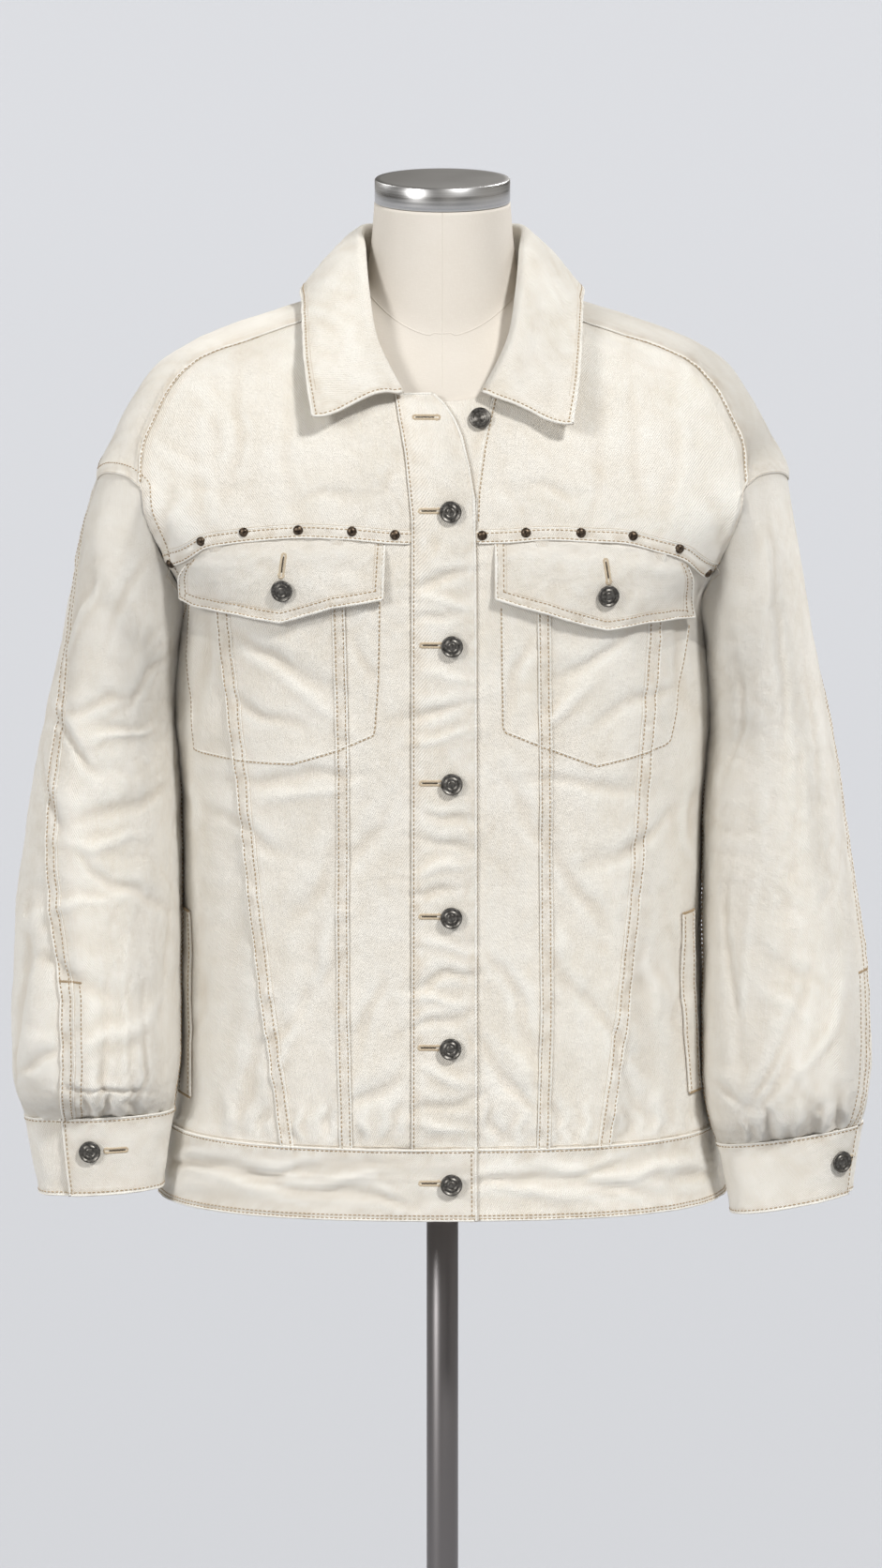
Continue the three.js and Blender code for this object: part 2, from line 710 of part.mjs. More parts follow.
function backPanel() {
  const lowRows = 8;
  const holeRows = (180 + ARMHOLE_BACK_TURN) / TURN_STEP;
  const bend = lowRows / (lowRows + holeRows);
  const left = sideEdge('L', bend, ARMHOLE_BACK_TURN, 360);
  const right = sideEdge('R', bend, ARMHOLE_BACK_TURN, 0);
  const edges = { bottom: bandEdge(180, 0), top: backSeam, left, right };
  return bodyPiece(edges, BACK_COLUMNS, lowRows + holeRows, 0, CLOTH);
}

// A strip of the front between two edges given as rows of z, x
function frontStrip(leftRows, rightRows, across, up, outerGap, thickness) {
  const edge = (rows) => (t) => {
    const z = rows[0][0] + (rows[rows.length - 1][0] - rows[0][0]) * t;
    return frontSpot(lookUp(rows, z)[1], z);
  };
  const left = edge(leftRows);
  const right = edge(rightRows);
  const bottom = (s) => [left(0)[0] + (right(0)[0] - left(0)[0]) * s, BAND_LEVEL];
  const top = (s) => left(1).map((value, k) => value + (right(1)[k] - value) * s);
  const fromBand = (line) => (t) => [line(t)[0], t === 0 ? BAND_LEVEL : line(t)[1]];
  const edges = { bottom, top, left: fromBand(left), right: fromBand(right) };
  return bodyPiece(edges, across, up, outerGap, thickness);
}

// Band round the hem, its left end lapping over its right end at the front
function hemBand() {
  const start = frontSpot(PANEL_EDGE_X, 715)[0];
  const end = frontSpot(26.8, 715)[0] + 360;
  const grid = (out) => {
    const lines = [];
    for (let r = 0; r <= 2; r += 1) {
      const line = [];
      for (let c = 0; c <= BAND_COLUMNS; c += 1) {
        const degrees = start + (end - start) * c / BAND_COLUMNS;
        const over = easeStep(end - 46, end - 26, degrees) * (LAY_GAP + CLOTH);
        line.push(bodyPoint(degrees, BAND_LEVEL * r / 2, out + over));
      }
      lines.push(line);
    }
    return insetEdges(lines, SEAM_INSET);
  };
  return clothSolid(grid(0), grid(-CLOTH));
}

// Sleeve ring k (0 is the armhole) at a turn: 0 outer, 90 front, 180 inner, 270 back
function sleeveRingPoint(side, rings, k, turn) {
  const sign = side === 'L' ? -1 : 1;
  const around = ((turn % 360) + 360) % 360;
  if (k === 0) {
    const [degrees, level] = armholeSpot(side, around);
    return bodySurface(degrees, level);
  }
  const [outX, outZ, inX, inZ, midY, half] = rings[k - 1];
  const c = Math.cos(around * RAD);
  const s = Math.sin(around * RAD);
  const r = (Math.abs(c) ** SLEEVE_SQUARENESS + Math.abs(s) ** SLEEVE_SQUARENESS) ** (-1 / SLEEVE_SQUARENESS);
  const x = (outX + inX) / 2 + (outX - inX) / 2 * r * c;
  const z = (outZ + inZ) / 2 + (outZ - inZ) / 2 * r * c;
  return new THREE.Vector3(sign * x, midY - half * r * s, z);
}

function sleeveSurface(side, turn, level) {
  const last = SLEEVE_ENDS;
  const v = Math.min(Math.max(level, 0), last);
  const i = Math.min(Math.floor(v), last - 1);
  const f = v - i;
  const rings = SLEEVE_RINGS[side];
  const at = (k) => sleeveRingPoint(side, rings, Math.min(Math.max(k, 0), last), turn);
  const [p0, p1, p2, p3] = [at(i - 1), at(i), at(i + 1), at(i + 2)];
  const m1 = p2.clone().sub(p0).multiplyScalar(0.5);
  const m2 = p3.clone().sub(p1).multiplyScalar(0.5);
  return p1.clone().multiplyScalar(2 * f ** 3 - 3 * f * f + 1)
    .addScaledVector(m1, f ** 3 - 2 * f * f + f)
    .addScaledVector(p2, 3 * f * f - 2 * f ** 3)
    .addScaledVector(m2, f ** 3 - f * f);
}

function sleeveFold(side, turn, level) {
  let depth = 0;
  for (const [middle, at, halfTurn, halfLevel, size, slope] of SLEEVE_FOLDS[side]) {
    const away = turnApart(turn, middle);
    depth -= size * hump(away, 0, halfTurn) * hump(level - slope * away, at, halfLevel * 1.6);
  }
  const seat = easeStep(8.6, 10.4, level) * (1 - 0.4 * easeStep(10.6, 11, level));
  for (const [middle, half, size] of PLEATS[side]) {
    depth -= size * hump(turnApart(turn, middle), 0, half) * seat;
  }
  const clear = 1 - hump(turnApart(turn, 180), 0, 60) * easeStep(4, 5, level);
  return depth * clear;
}

function sleevePoint(side, turn, level, out) {
  const steps = level > SLEEVE_ENDS - 0.02 ? [level - 0.02, level] : [level, level + 0.02];
  const p = sleeveSurface(side, turn, level);
  const across = sleeveSurface(side, turn + 1, level).sub(sleeveSurface(side, turn - 1, level));
  const down = sleeveSurface(side, turn, steps[1]).sub(sleeveSurface(side, turn, steps[0]));
  const normal = across.cross(down).normalize();
  if (side === 'R') {
    normal.negate();
  }
  const sign = Math.sign(normal.dot(p.clone().sub(sleeveMiddle(side, level)))) || 1;
  return p.addScaledVector(normal, sign * (out + sleeveFold(side, turn, level)));
}

function sleeveMiddle(side, level) {
  const [outer, inner] = [sleeveSurface(side, 0, level), sleeveSurface(side, 180, level)];
  return outer.add(inner).multiplyScalar(0.5);
}

// One of the two lengths of a sleeve between its seams
function sleevePiece(side, front, along) {
  const column = side === 'L' ? 1 : 2;
  const start = SLEEVE_SEAM[0][column];
  const around = front ? (UNDERARM_TURN - start) / TURN_STEP : (start + 360 - UNDERARM_TURN) / TURN_STEP;
  const grid = (out) => {
    const lines = [];
    for (let r = 0; r <= along; r += 1) {
      const level = SLEEVE_ENDS * r / along;
      const seam = lookUp(SLEEVE_SEAM, level)[column];
      const [from, to] = front ? [seam, UNDERARM_TURN] : [UNDERARM_TURN, seam + 360];
      const line = [];
      for (let c = 0; c <= around; c += 1) {
        line.push(sleevePoint(side, from + (to - from) * c / around, level, out));
      }
      lines.push(line);
    }
    return insetEdges(lines, SLEEVE_INSET);
  };
  return clothSolid(grid(0), grid(-CLOTH));
}

function cuffPoint(side, turn, share, out) {
  const sign = side === 'L' ? -1 : 1;
  const [outX, outZ, inX, inZ, midY, half] = blendRows(CUFF_RINGS[side], 2 * share);
  const n = SLEEVE_SQUARENESS;
  const c = Math.cos(turn * RAD);
  const s = Math.sin(turn * RAD);
  const r = (Math.abs(c) ** n + Math.abs(s) ** n) ** (-1 / n);
  const [halfX, halfY] = [(outX - inX) / 2 + out, half + out];
  const x = (outX + inX) / 2 + halfX * r * c;
  return new THREE.Vector3(sign * x, midY - halfY * r * s, (outZ + inZ) / 2 + (outZ - inZ) / 2 * r * c);
}

// Cuff whose inner part laps over the end that comes round the outside
function cuff(side) {
  const over = CUFF_OVER_TURN[side];
  const from = over + CUFF_LAP;
  const to = over - 360;
  const grid = (out) => {
    const lines = [];
    for (let r = 0; r <= 2; r += 1) {
      const line = [];
      for (let c = 0; c <= CUFF_COLUMNS; c += 1) {
        const turn = from + (to - from) * c / CUFF_COLUMNS;
        const under = easeStep(over - 30, over - 8, turn) * (LAY_GAP + DOUBLE_CLOTH);
        line.push(cuffPoint(side, turn, r / 2, out - under));
      }
      lines.push(line);
    }
    return insetEdges(lines, SEAM_INSET);
  };
  return clothSolid(grid(0), grid(-DOUBLE_CLOTH));
}

// Collar: up from the neck seam, over the roll and down to the leaf edge
function collarRow(station) {
  const mirror = station < 0 ? -1 : 1;
  const [nx, ny, nz, rx, ry, rz, ex, ey, ez] = blendMirrored(COLLAR, Math.abs(station));
  const point = (x, y, z) => new THREE.Vector3(mirror * x, y, z);
  const neck = point(nx, ny, nz);
  const roll = point(rx, ry, rz);
  const edge = point(ex, ey, ez);
  const away = edge.clone().sub(neck);
  away.z = 0;
  away.normalize();
  const tall = Math.min(neck.distanceTo(roll) / 40, 1);
  const stand = neck.clone().lerp(roll, 0.5).addScaledVector(away, -tall);
  const before = roll.clone().lerp(neck, 0.08).addScaledVector(away, -COLLAR_FOLD * 0.6 * tall);
  const after = roll.clone().addScaledVector(away, COLLAR_FOLD).lerp(edge, 0.05);
  const high = roll.clone().lerp(edge, 0.38).addScaledVector(away, 3).add(new THREE.Vector3(0, 0, 2.2));
  const low = roll.clone().lerp(edge, 0.72).addScaledVector(away, 2.4).add(new THREE.Vector3(0, 0, 1.4));
  return [neck, stand, before, roll, after, high, low, edge].map((p) => [p.x, p.y, p.z]);
}

// Rows of a half table, read across its middle without a corner there
function blendMirrored(rows, station) {
  const signs = rows[0].map((_, k) => (k % 3 === 0 ? -1 : 1));
  const beyond = rows[1].map((value, k) => value * signs[k]);
  return blendRows([beyond, ...rows], station + 1);
}

function collarPoint(station, cross) {
  const [x, y, z] = blendRows(collarRow(station), cross);
  return new THREE.Vector3(x, y, z);
}

function collar() {
  const [stations, crosses] = [28, 9];
  const grid = (out) => {
    const lines = [];
    for (let r = 0; r <= crosses; r += 1) {
      const cross = 7 * r / crosses;
      const line = [];
      for (let c = 0; c <= stations; c += 1) {
        const station = -6 + 12 * c / stations;
        const [du, dv] = [0.02, 0.03];
        const low = [Math.max(station - du, -6), Math.min(station + du, 6)];
        const high = [Math.max(cross - dv, 0), Math.min(cross + dv, 7)];
        const across = collarPoint(low[1], cross).sub(collarPoint(low[0], cross));
        const up = collarPoint(station, high[1]).sub(collarPoint(station, high[0]));
        const normal = across.cross(up).normalize();
        line.push(collarPoint(station, cross).addScaledVector(normal, out));
      }
      lines.push(line);
    }
    return lines;
  };
  return clothSolid(grid(COLLAR_CLOTH / 2), grid(-COLLAR_CLOTH / 2));
}

function flap(side) {
  const rows = FLAPS[side];
  const top = edgeThrough(rows.map(([share, x, z]) => [share, ...frontSpot(x, z)]));
  const bottom = edgeThrough(rows.map(([share, , , x, z]) => [share, ...frontSpot(x, z)]));
  const join = (s) => (t) => bottom(s).map((value, k) => value + (top(s)[k] - value) * t);
  const lift = (s, t) => FLAP_LIFT[side] * (1 - s) ** 6 * (1 - t) ** 1.5 + 0.8 * (1 - t);
  const edges = { bottom, top, left: join(0), right: join(1) };
  return bodyPiece(edges, 11, 4, FLAP_GAP + DOUBLE_CLOTH, DOUBLE_CLOTH, lift);
}

function welt(side) {
  const rows = WELTS[side];
  const spotAt = (z, fromSide) => {
    let level = 3;
    for (let i = 0; i < 12; i += 1) {
      level += (z - bodySurface(frontDegrees(side, fromSide), level).z) / 110;
    }
    return [frontDegrees(side, fromSide), level];
  };
  const column = (k) => edgeThrough(rows.map((row, i) => [i / 2, ...spotAt(row[0], row[k])]));
  const [left, right] = [column(1), column(2)];
  const bottom = (s) => left(0).map((value, k) => value + (right(0)[k] - value) * s);
  const top = (s) => left(1).map((value, k) => value + (right(1)[k] - value) * s);
  return bodyPiece({ bottom, top, left, right }, 2, 12, LAY_GAP + CLOTH, CLOTH);
}

// Turned shape standing on a surface: profile rows are radius, height
function turned(profile, segments, place, normal) {
  const points = profile.map(([radius, height]) => new THREE.Vector2(radius, height));
  const geometry = new THREE.LatheGeometry(points, segments);
  const turn = new THREE.Quaternion().setFromUnitVectors(new THREE.Vector3(0, 1, 0), normal);
  geometry.applyQuaternion(turn);
  geometry.translate(place.x, place.y, place.z);
  return geometry;
}

function buttonProfile() {
  const [r, h] = [BUTTON_RADIUS, BUTTON_HEIGHT];
  return [[0, 0], [r * 0.42, 0], [r * 0.42, h * 0.45], [r * 0.96, h * 0.5], [r, h * 0.72], [r * 0.86, h],
    [r * 0.62, h * 0.82], [0, h * 0.88]];
}

function studProfile() {
  const [r, h] = [STUD_RADIUS, STUD_HEIGHT];
  return [[0, 0], [r, 0], [r * 0.8, h * 0.7], [0, h]];
}

function seat(spot, out) {
  const place = bodyPoint(spot[0], spot[1], out);
  const normal = bodyPoint(spot[0], spot[1], out + 1).sub(place).normalize();
  return { place, normal };
}

// Form: closed rings, flat at the bottom and at the neck
function formGeometry() {
  const segments = 28;
  const rings = [];
  const angles = Array.from({ length: segments }, (_, i) => i * 360 / segments);
  for (const ring of FORM_LOWER) {
    rings.push(angles.map((degrees) => ringPoint(ring, degrees)));
  }
  for (const level of FORM_SHOULDER_LEVELS) {
    rings.push(angles.map((degrees) => bodyPoint(degrees, level, -CLOTH - FORM_CLEARANCE)));
  }
  for (const ring of FORM_UPPER) {
    rings.push(angles.map((degrees) => ringPoint(ring, degrees)));
  }
  const positions = rings.flat().flatMap((p) => [p.x, p.y, p.z]);
  const low = rings.length * segments;
  positions.push(0, 0, FORM_BOTTOM, 0, 0, FORM_UPPER[FORM_UPPER.length - 1][0]);
  const faces = [];
  for (let r = 0; r < rings.length - 1; r += 1) {
    for (let c = 0; c < segments; c += 1) {
      const next = (c + 1) % segments;
      const [a, b] = [r * segments + c, r * segments + next];
      faces.push(a, b, b + segments, a, b + segments, a + segments);
    }
  }
  const topStart = (rings.length - 1) * segments;
  for (let c = 0; c < segments; c += 1) {
    const next = (c + 1) % segments;
    faces.push(low, next, c);
    faces.push(low + 1, topStart + c, topStart + next);
  }
  return facingOut(positions, faces);
}

function standardMaterial(color, roughness, metalness) {
  return new THREE.MeshStandardMaterial({ color, roughness, metalness, side: THREE.DoubleSide });
}

function buildJacket() {
  const jacket = new THREE.Group();
  jacket.name = 'denim_jacket';
  const denim = [0xe6e0d2, 0.9, 0];
  const pewter = [0x4a4742, 0.4, 0.9];
  const add = (name, geometry, [color, roughness, metalness]) => {
    const mesh = new THREE.Mesh(geometry, standardMaterial(color, roughness, metalness));
    mesh.name = name;
    jacket.add(mesh);
  };
  const up = new THREE.Vector3(0, 0, 1);

  for (const side of ['L', 'R']) {
    const tag = side === 'L' ? 'left' : 'right';
    const outerSeam = (z) => seamX(side, 1, z);
    const innerSeam = (z) => seamX(side, 2, z);
    const edge = (z) => lookUp(side === 'L' ? PLACKET_INNER : UNDERLAP_EDGE, z)[1];
    add(`front_yoke_${tag}`, frontYoke(side), denim);
    add(`centre_front_${tag}`, frontPanel(side, innerSeam, edge, CENTRE_COLUMNS), denim);
    add(`middle_front_${tag}`, frontPanel(side, outerSeam, innerSeam, MIDDLE_COLUMNS), denim);
    add(`side_front_${tag}`, sidePanel(side), denim);
    add(`upper_sleeve_${tag}`, sleevePiece(side, true, 13), denim);
    add(`under_sleeve_${tag}`, sleevePiece(side, false, 13), denim);
    add(`cuff_${tag}`, cuff(side), denim);
    add(`pocket_flap_${tag}`, flap(side), denim);
    add(`pocket_welt_${tag}`, welt(side), denim);
    const [flapX, flapZ] = FLAP_BUTTONS[side];
    const onFlap = seat(frontSpot(flapX, flapZ), FLAP_GAP + DOUBLE_CLOTH + LAY_GAP + 0.5);
    add(`flap_button_${tag}`, turned(buttonProfile(), 12, onFlap.place, onFlap.normal), pewter);
    const [turn, share] = CUFF_BUTTONS[side];
    const onCuff = cuffPoint(side, turn, share, LAY_GAP + 0.3);
    const away = cuffPoint(side, turn, share, 10).sub(onCuff).normalize();
    add(`cuff_button_${tag}`, turned(buttonProfile(), 12, onCuff, away), pewter);
  }
  add('back_yoke', backYoke(), denim);
  add('back_panel', backPanel(), denim);
  add('hem_band', hemBand(), denim);
  add('placket', frontStrip(PLACKET_INNER, PLACKET_EDGE, 4, 18, LAY_GAP + CLOTH, CLOTH), denim);
  add('underlap', frontStrip(PLACKET_INNER, UNDERLAP_EDGE, 4, 18, -UNDERLAP_DROP, CLOTH), denim);
  add('collar', collar(), denim);

  FRONT_BUTTONS.forEach(([x, z, out], i) => {
    const { place, normal } = seat(frontSpot(x, z), out);
    add(`front_button_${i + 1}`, turned(buttonProfile(), 12, place, normal), pewter);
  });
  STUDS.forEach(([x, z], i) => {
    const { place, normal } = seat(frontSpot(x, z), LAY_GAP);
    add(`stud_${i + 1}`, turned(studProfile(), 8, place, normal), pewter);
  });

  add('form', formGeometry(), [0xe9e0d2, 0.95, 0]);
  const cap = [[0, CAP_BOTTOM], [CAP_RADIUS, CAP_BOTTOM], [CAP_RADIUS, CAP_TOP - 1], [CAP_RADIUS - 1, CAP_TOP],
    [0, CAP_TOP]];
  add('neck_cap', turned(cap, 32, new THREE.Vector3(), up), [0xb9b9bb, 0.35, 1]);
  const poleBottom = BASE_HEIGHT + STAND_GAP;
  const poleTop = FORM_BOTTOM - STAND_GAP;
  const pole = [[0, poleBottom], [POLE_RADIUS, poleBottom], [POLE_RADIUS, poleTop], [0, poleTop]];
  add('pole', turned(pole, 24, new THREE.Vector3(), up), [0x4b4948, 0.25, 1]);
  const base = [[0, 0], [BASE_RADIUS, 0], [BASE_RADIUS, BASE_HEIGHT - BASE_EDGE],
    [BASE_RADIUS - BASE_EDGE, BASE_HEIGHT], [0, BASE_HEIGHT]];
  add('base', turned(base, 48, new THREE.Vector3(), up), [0x55524f, 0.35, 1]);
  return jacket;
}

export default buildJacket();
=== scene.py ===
import math
from functools import partial

import bpy
import numpy as np
from bpy.props import FloatProperty, IntProperty, PointerProperty
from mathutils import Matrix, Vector
from mathutils.bvhtree import BVHTree


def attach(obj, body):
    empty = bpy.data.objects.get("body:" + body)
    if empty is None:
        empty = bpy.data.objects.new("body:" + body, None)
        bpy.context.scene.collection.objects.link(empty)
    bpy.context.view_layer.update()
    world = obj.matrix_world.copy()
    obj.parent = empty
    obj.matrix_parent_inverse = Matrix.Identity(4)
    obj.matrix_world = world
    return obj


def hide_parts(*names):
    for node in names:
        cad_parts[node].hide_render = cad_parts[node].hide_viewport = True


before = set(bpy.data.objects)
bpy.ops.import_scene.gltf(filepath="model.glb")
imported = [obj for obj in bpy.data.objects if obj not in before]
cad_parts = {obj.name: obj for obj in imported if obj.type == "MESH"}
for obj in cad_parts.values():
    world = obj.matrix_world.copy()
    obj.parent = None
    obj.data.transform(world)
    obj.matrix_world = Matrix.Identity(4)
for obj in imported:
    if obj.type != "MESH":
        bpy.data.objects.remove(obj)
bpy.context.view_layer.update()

bl_info = {
    "name": "Denim jacket on a dress form",
    "version": (1, 0, 0),
    "blender": (4, 5, 0),
    "location": "View3D > Sidebar > Jacket",
    "description": "Builds a cream denim trucker jacket on a limbless dress form with its stand",
    "category": "Add Mesh",
}

MM = 0.001
BODY_NODE = "root"

# Sizes in millimetres, front of the jacket towards -Y
CLOTH = 1.6
BAND_Z = 743.0
# degrees and level that flat sizes run from: the middle of the front or back, at the top of the hem band
FRONT_ORIGIN = (-90.0, 1.0)
BACK_ORIGIN = (90.0, 1.0)
NECK_LEVEL = 16.0
UNDERARM_LEVEL = 5.2
NECK_FRONT_Z = 1334.2
BACK_YOKE_LEVEL = 7.75
YOKE_REACH = 219.0
YOKE_TURN = 120.0
SHOULDER_TURN = 60.0
BACK_TURN = -96.0
NECK_DEGREES = 21.0
SLEEVE_LAST = 11.0
UNDERARM_TURN = 180.0
SLEEVE_SQUARE = 2.15

# front z, side z, back z, half width, front depth, back depth, squareness
BODY_RINGS = np.array([
    [688, 690, 692, 222, 141, 120, 2.6],
    [743, 745, 747, 214, 138, 118, 2.6],
    [778, 778, 780, 208, 140, 120, 2.5],
    [900, 900, 900, 203, 136, 119, 2.5],
    [1030, 1030, 1030, 201, 134, 120, 2.5],
    [1120, 1130, 1125, 201, 132, 122, 2.5],
    [1160, 1172, 1165, 210, 131, 122, 2.6],
    [1196, 1212, 1203, 242, 129, 120, 2.75],
    [1230, 1252, 1238, 270, 126, 118, 2.7],
    [1260, 1288, 1272, 257, 122, 113, 2.6],
    [1280, 1316, 1302, 242, 117, 108, 2.5],
    [1296, 1340, 1327, 225, 111, 103, 2.45],
    [1308, 1356, 1346, 204, 105, 97, 2.4],
    [1316, 1366, 1360, 183, 101, 92, 2.35],
    [1324, 1379, 1376, 147, 96, 85, 2.3],
    [1330, 1392, 1389, 107, 91, 78, 2.2],
    [1335, 1402, 1397, 78, 87, 72, 2.1],
], float)

# turn, degrees from the side line, level; mirrored for the back half
ARMHOLE = [
    [0, 0, 8.0], [20, 9, 8.38], [40, 14, 8.51], [55, 17.2, 8.45], [70, 19, 8.28], [90, 20, 7.67],
    [110, 19, 6.95], [130, 16, 6.35], [155, 9.5, 5.6], [180, 0, UNDERARM_LEVEL],
]
ARMHOLE_ROUND = np.array(
    [[-205, 9.5, 5.6]] + [[-a, -b, c] for a, b, c in ARMHOLE[:0:-1]] + ARMHOLE + [[205, -9.5, 5.6]], float)

# share, degrees from the side line, level
SHOULDER_SEAM = [
    [0.2, 14.6, 9.3], [0.35, 13.5, 10.2], [0.5, 12.2, 11.2], [0.65, 11.2, 12.2], [0.8, 12, 13.4],
    [0.92, 16.5, 14.9],
]

# x, z
YOKE_SEAM = {
    "L": np.array([[-207, 1200], [-185, 1215.5], [-155, 1222], [-112, 1226.5], [-71, 1225.5], [-38, 1222.7],
                   [0, 1222.5]], float),
    "R": np.array([[0, 1222.5], [50, 1223.4], [82, 1225.4], [114, 1223.5], [145, 1221], [167.6, 1214],
                   [190, 1205], [207, 1187]], float),
}
# z, outer seam x, inner seam x
FRONT_SEAMS = {
    "L": np.array([[744, -121.6, -75], [850, -136, -77.5], [961, -148.5, -77.7], [1045, -158.5, -77.5],
                   [1165, -172, -80.8], [1224, -178, -82]], float),
    "R": np.array([[744, 127.2, 78.6], [850, 140.5, 81.4], [961, 152.8, 80.6], [1045, 159.2, 80.5],
                   [1165, 166.5, 79], [1224, 171, 77.5]], float),
}
# z, x
PLACKET_EDGE = np.array([[743, 26.8], [1000, 26.6], [1200, 26.2], [1256, 25.2], [1281, 21], [1304, 15],
                         [1316, 9.6], [1327, 1.5], [1334, -7.5]], float)
PLACKET_INNER = np.array([[743, -24], [1240, -24], [1290, -29], [1316, -34], [1334, -37]], float)
UNDERLAP_EDGE = np.array([[743, 26], [1225, 26], [1262, 27.5], [1295, 32], [1320, 37.5], [1334, 41]], float)

# share, top x, top z, lower x, lower z
FLAPS = {
    "L": np.array([[0, -199, 1199, -203, 1167], [0.12, -182, 1213, -185, 1165], [0.28, -158, 1220, -160, 1163],
                   [0.5, -121, 1224.5, -126, 1158.3], [0.74, -80, 1224.5, -86, 1171.5],
                   [1, -44.4, 1221.5, -46, 1178.5]], float),
    "R": np.array([[0, 191, 1200, 193.5, 1154], [0.12, 177, 1208.5, 178, 1157], [0.28, 156, 1216, 160, 1156],
                   [0.5, 121, 1221.5, 127.5, 1152.4], [0.74, 82, 1223.5, 82.5, 1166.5],
                   [1, 40.9, 1221.5, 40.9, 1179]], float),
}
FLAP_LIFT = {"L": 11.0, "R": 4.0}
CORNER_CURL = {"L": 6.0, "R": 1.5}
# z, outer degrees, inner degrees from the side line
WELTS = {
    "L": np.array([[772, 8.6, 18], [845, 8.8, 16], [917, 9, 14]], float),
    "R": np.array([[777, 14.4, 20.6], [848, 14.4, 20.6], [919, 14.4, 20.6]], float),
}
# outer x, outer z, inner x, inner z, middle y, half depth
SLEEVE_RINGS = {
    "L": [[279, 1224, 208, 1118, -4, 84], [287, 1187, 211.5, 1092, -6, 84], [300, 1120, 213, 1062, -8, 82],
          [310, 1075, 211, 1040, -10, 80], [320, 1025, 208.5, 1005, -14, 79], [328, 970, 206.5, 958, -20, 78],
          [334, 925, 206, 918, -26, 77], [337, 860, 206.5, 856, -36, 75], [337, 806, 207, 806, -46, 70],
          [334, 777, 208.5, 780, -53, 59], [326.5, 757.5, 211, 763, -60, 34]],
    "R": [[274, 1226, 208, 1118, -4, 84], [281, 1187, 211.5, 1092, -6, 84], [292, 1120, 213, 1062, -8, 82],
          [301, 1075, 211, 1040, -10, 80], [310, 1025, 208, 1005, -14, 79], [318, 970, 206, 958, -20, 78],
          [325.5, 925, 205.5, 918, -26, 77], [334, 860, 205.5, 852, -36, 75], [337, 806, 206, 790, -46, 70],
          [334.5, 772, 209, 757, -53, 59], [328.5, 752, 216, 736, -60, 34]],
}
CUFF_RINGS = {
    "L": np.array([[326.5, 757.5, 211, 763, -60, 34], [321, 727, 215.5, 732, -61, 33],
                   [315, 697, 220, 702.5, -62, 32]], float),
    "R": np.array([[328.5, 752, 216, 736, -60, 34], [324.5, 725, 222, 708, -61, 33],
                   [320.5, 698, 227.5, 681.5, -62, 32]], float),
}
# level, left turn, right turn
SLEEVE_SEAM = np.array([[0, -24, -36], [1, -10, -32], [2, 10, -27], [3, 30, -20], [4, 39, -12], [5, 43, -6],
                        [6, 50, 2], [7, 58, 10], [8, 69, 18], [9, 70, 22], [10, 68, 25], [11, 65, 28]], float)
CUFF_OVER = {"L": 60.0, "R": 24.0}
CUFF_LAP = 40.0

# turn, half width in degrees, depth
PLEATS = {
    "L": [[83, 8, 3.2], [98, 8, 3.0], [118, 9, 2.2], [240, 24, 2.2], [300, 24, 2.0]],
    "R": [[52, 9, 2.6], [72, 9, 2.8], [104, 10, 2.0], [240, 24, 2.2], [300, 24, 2.0]],
}
# turn, level, half length in degrees, half width in levels, depth, slope
SLEEVE_FOLDS = {
    "L": [[70, 4.9, 50, 0.45, 1.5, 0.02], [100, 6.1, 45, 0.5, 1.5, -0.02], [60, 7.3, 45, 0.45, 1.3, 0.022],
          [120, 8.4, 40, 0.45, 1.3, -0.02], [250, 5.4, 60, 0.5, 2.4, 0.014], [280, 7.2, 55, 0.5, 2.2, -0.014]],
    "R": [[110, 8.3, 40, 0.5, 1.2, 0.024], [250, 5.6, 60, 0.5, 2.4, -0.014], [285, 7.4, 55, 0.5, 2.2, 0.014]],
}
# degrees, half width in degrees, top z, depth
BODY_WAVES = [
    [-143, 7, 1080, 2.0], [-128, 7, 1000, -1.6], [-40, 7, 1040, 1.8], [-52, 6, 980, -1.4], [28, 9, 1120, 4.0],
    [55, 9, 1160, -3.4], [80, 10, 1180, 3.6], [108, 9, 1170, -3.2], [131, 9, 1150, 4.0], [154, 8, 1080, -3.0],
]
# Cloth of the body pressed out against the sleeve beside it: z, distance
SIDE_BULGE = np.array([[880, 0], [918, 0.5], [958, 2], [1005, 4.2], [1040, 8], [1062, 11], [1092, 11],
                       [1110, 9.5], [1130, 6.5], [1150, 3], [1175, 0]], float)
# The sleeve's inner wall pressed towards the body: level, distance
SLEEVE_BULGE = np.array([[0.4, 0], [1.2, 5.5], [4, 5.5], [5, 4], [6, 2], [9, 1.5], [10, 0]], float)
# neck x y z, roll x y z, edge x y z, from the back middle to the front end
COLLAR = np.array([
    [0, 73, 1397.9, 0, 68, 1439, 0, 108, 1386], [46, 60, 1400, 40, 58, 1443, 62, 96, 1392],
    [75.5, 22, 1402.3, 62, 22, 1448, 106, 42, 1398], [77.5, -17, 1400.9, 62, -22, 1437, 109, -22, 1395],
    [66, -52, 1380.4, 58.5, -58, 1407, 108, -64, 1372], [54, -67, 1363.5, 51.5, -79, 1374, 106, -94, 1348],
    [35.5, -87, 1339.5, 31.5, -97, 1336, 101.5, -115, 1319.5],
], float)
COLLAR_FOLD = 3.4

# Chest pocket bags as sewn lines: x, z along each line
BAGS = {
    "L": [[[-197, 1165], [-194.8, 1138], [-192.6, 1097], [-189.6, 1047], [-155, 1045], [-117.2, 1046],
           [-81.6, 1058], [-53, 1071], [-50, 1115], [-49, 1175]]],
    "R": [[[46, 1170], [46.6, 1125], [47.3, 1074], [75.7, 1062], [120.1, 1044], [156.6, 1050],
           [176.4, 1056], [183, 1097], [191, 1145]]],
}
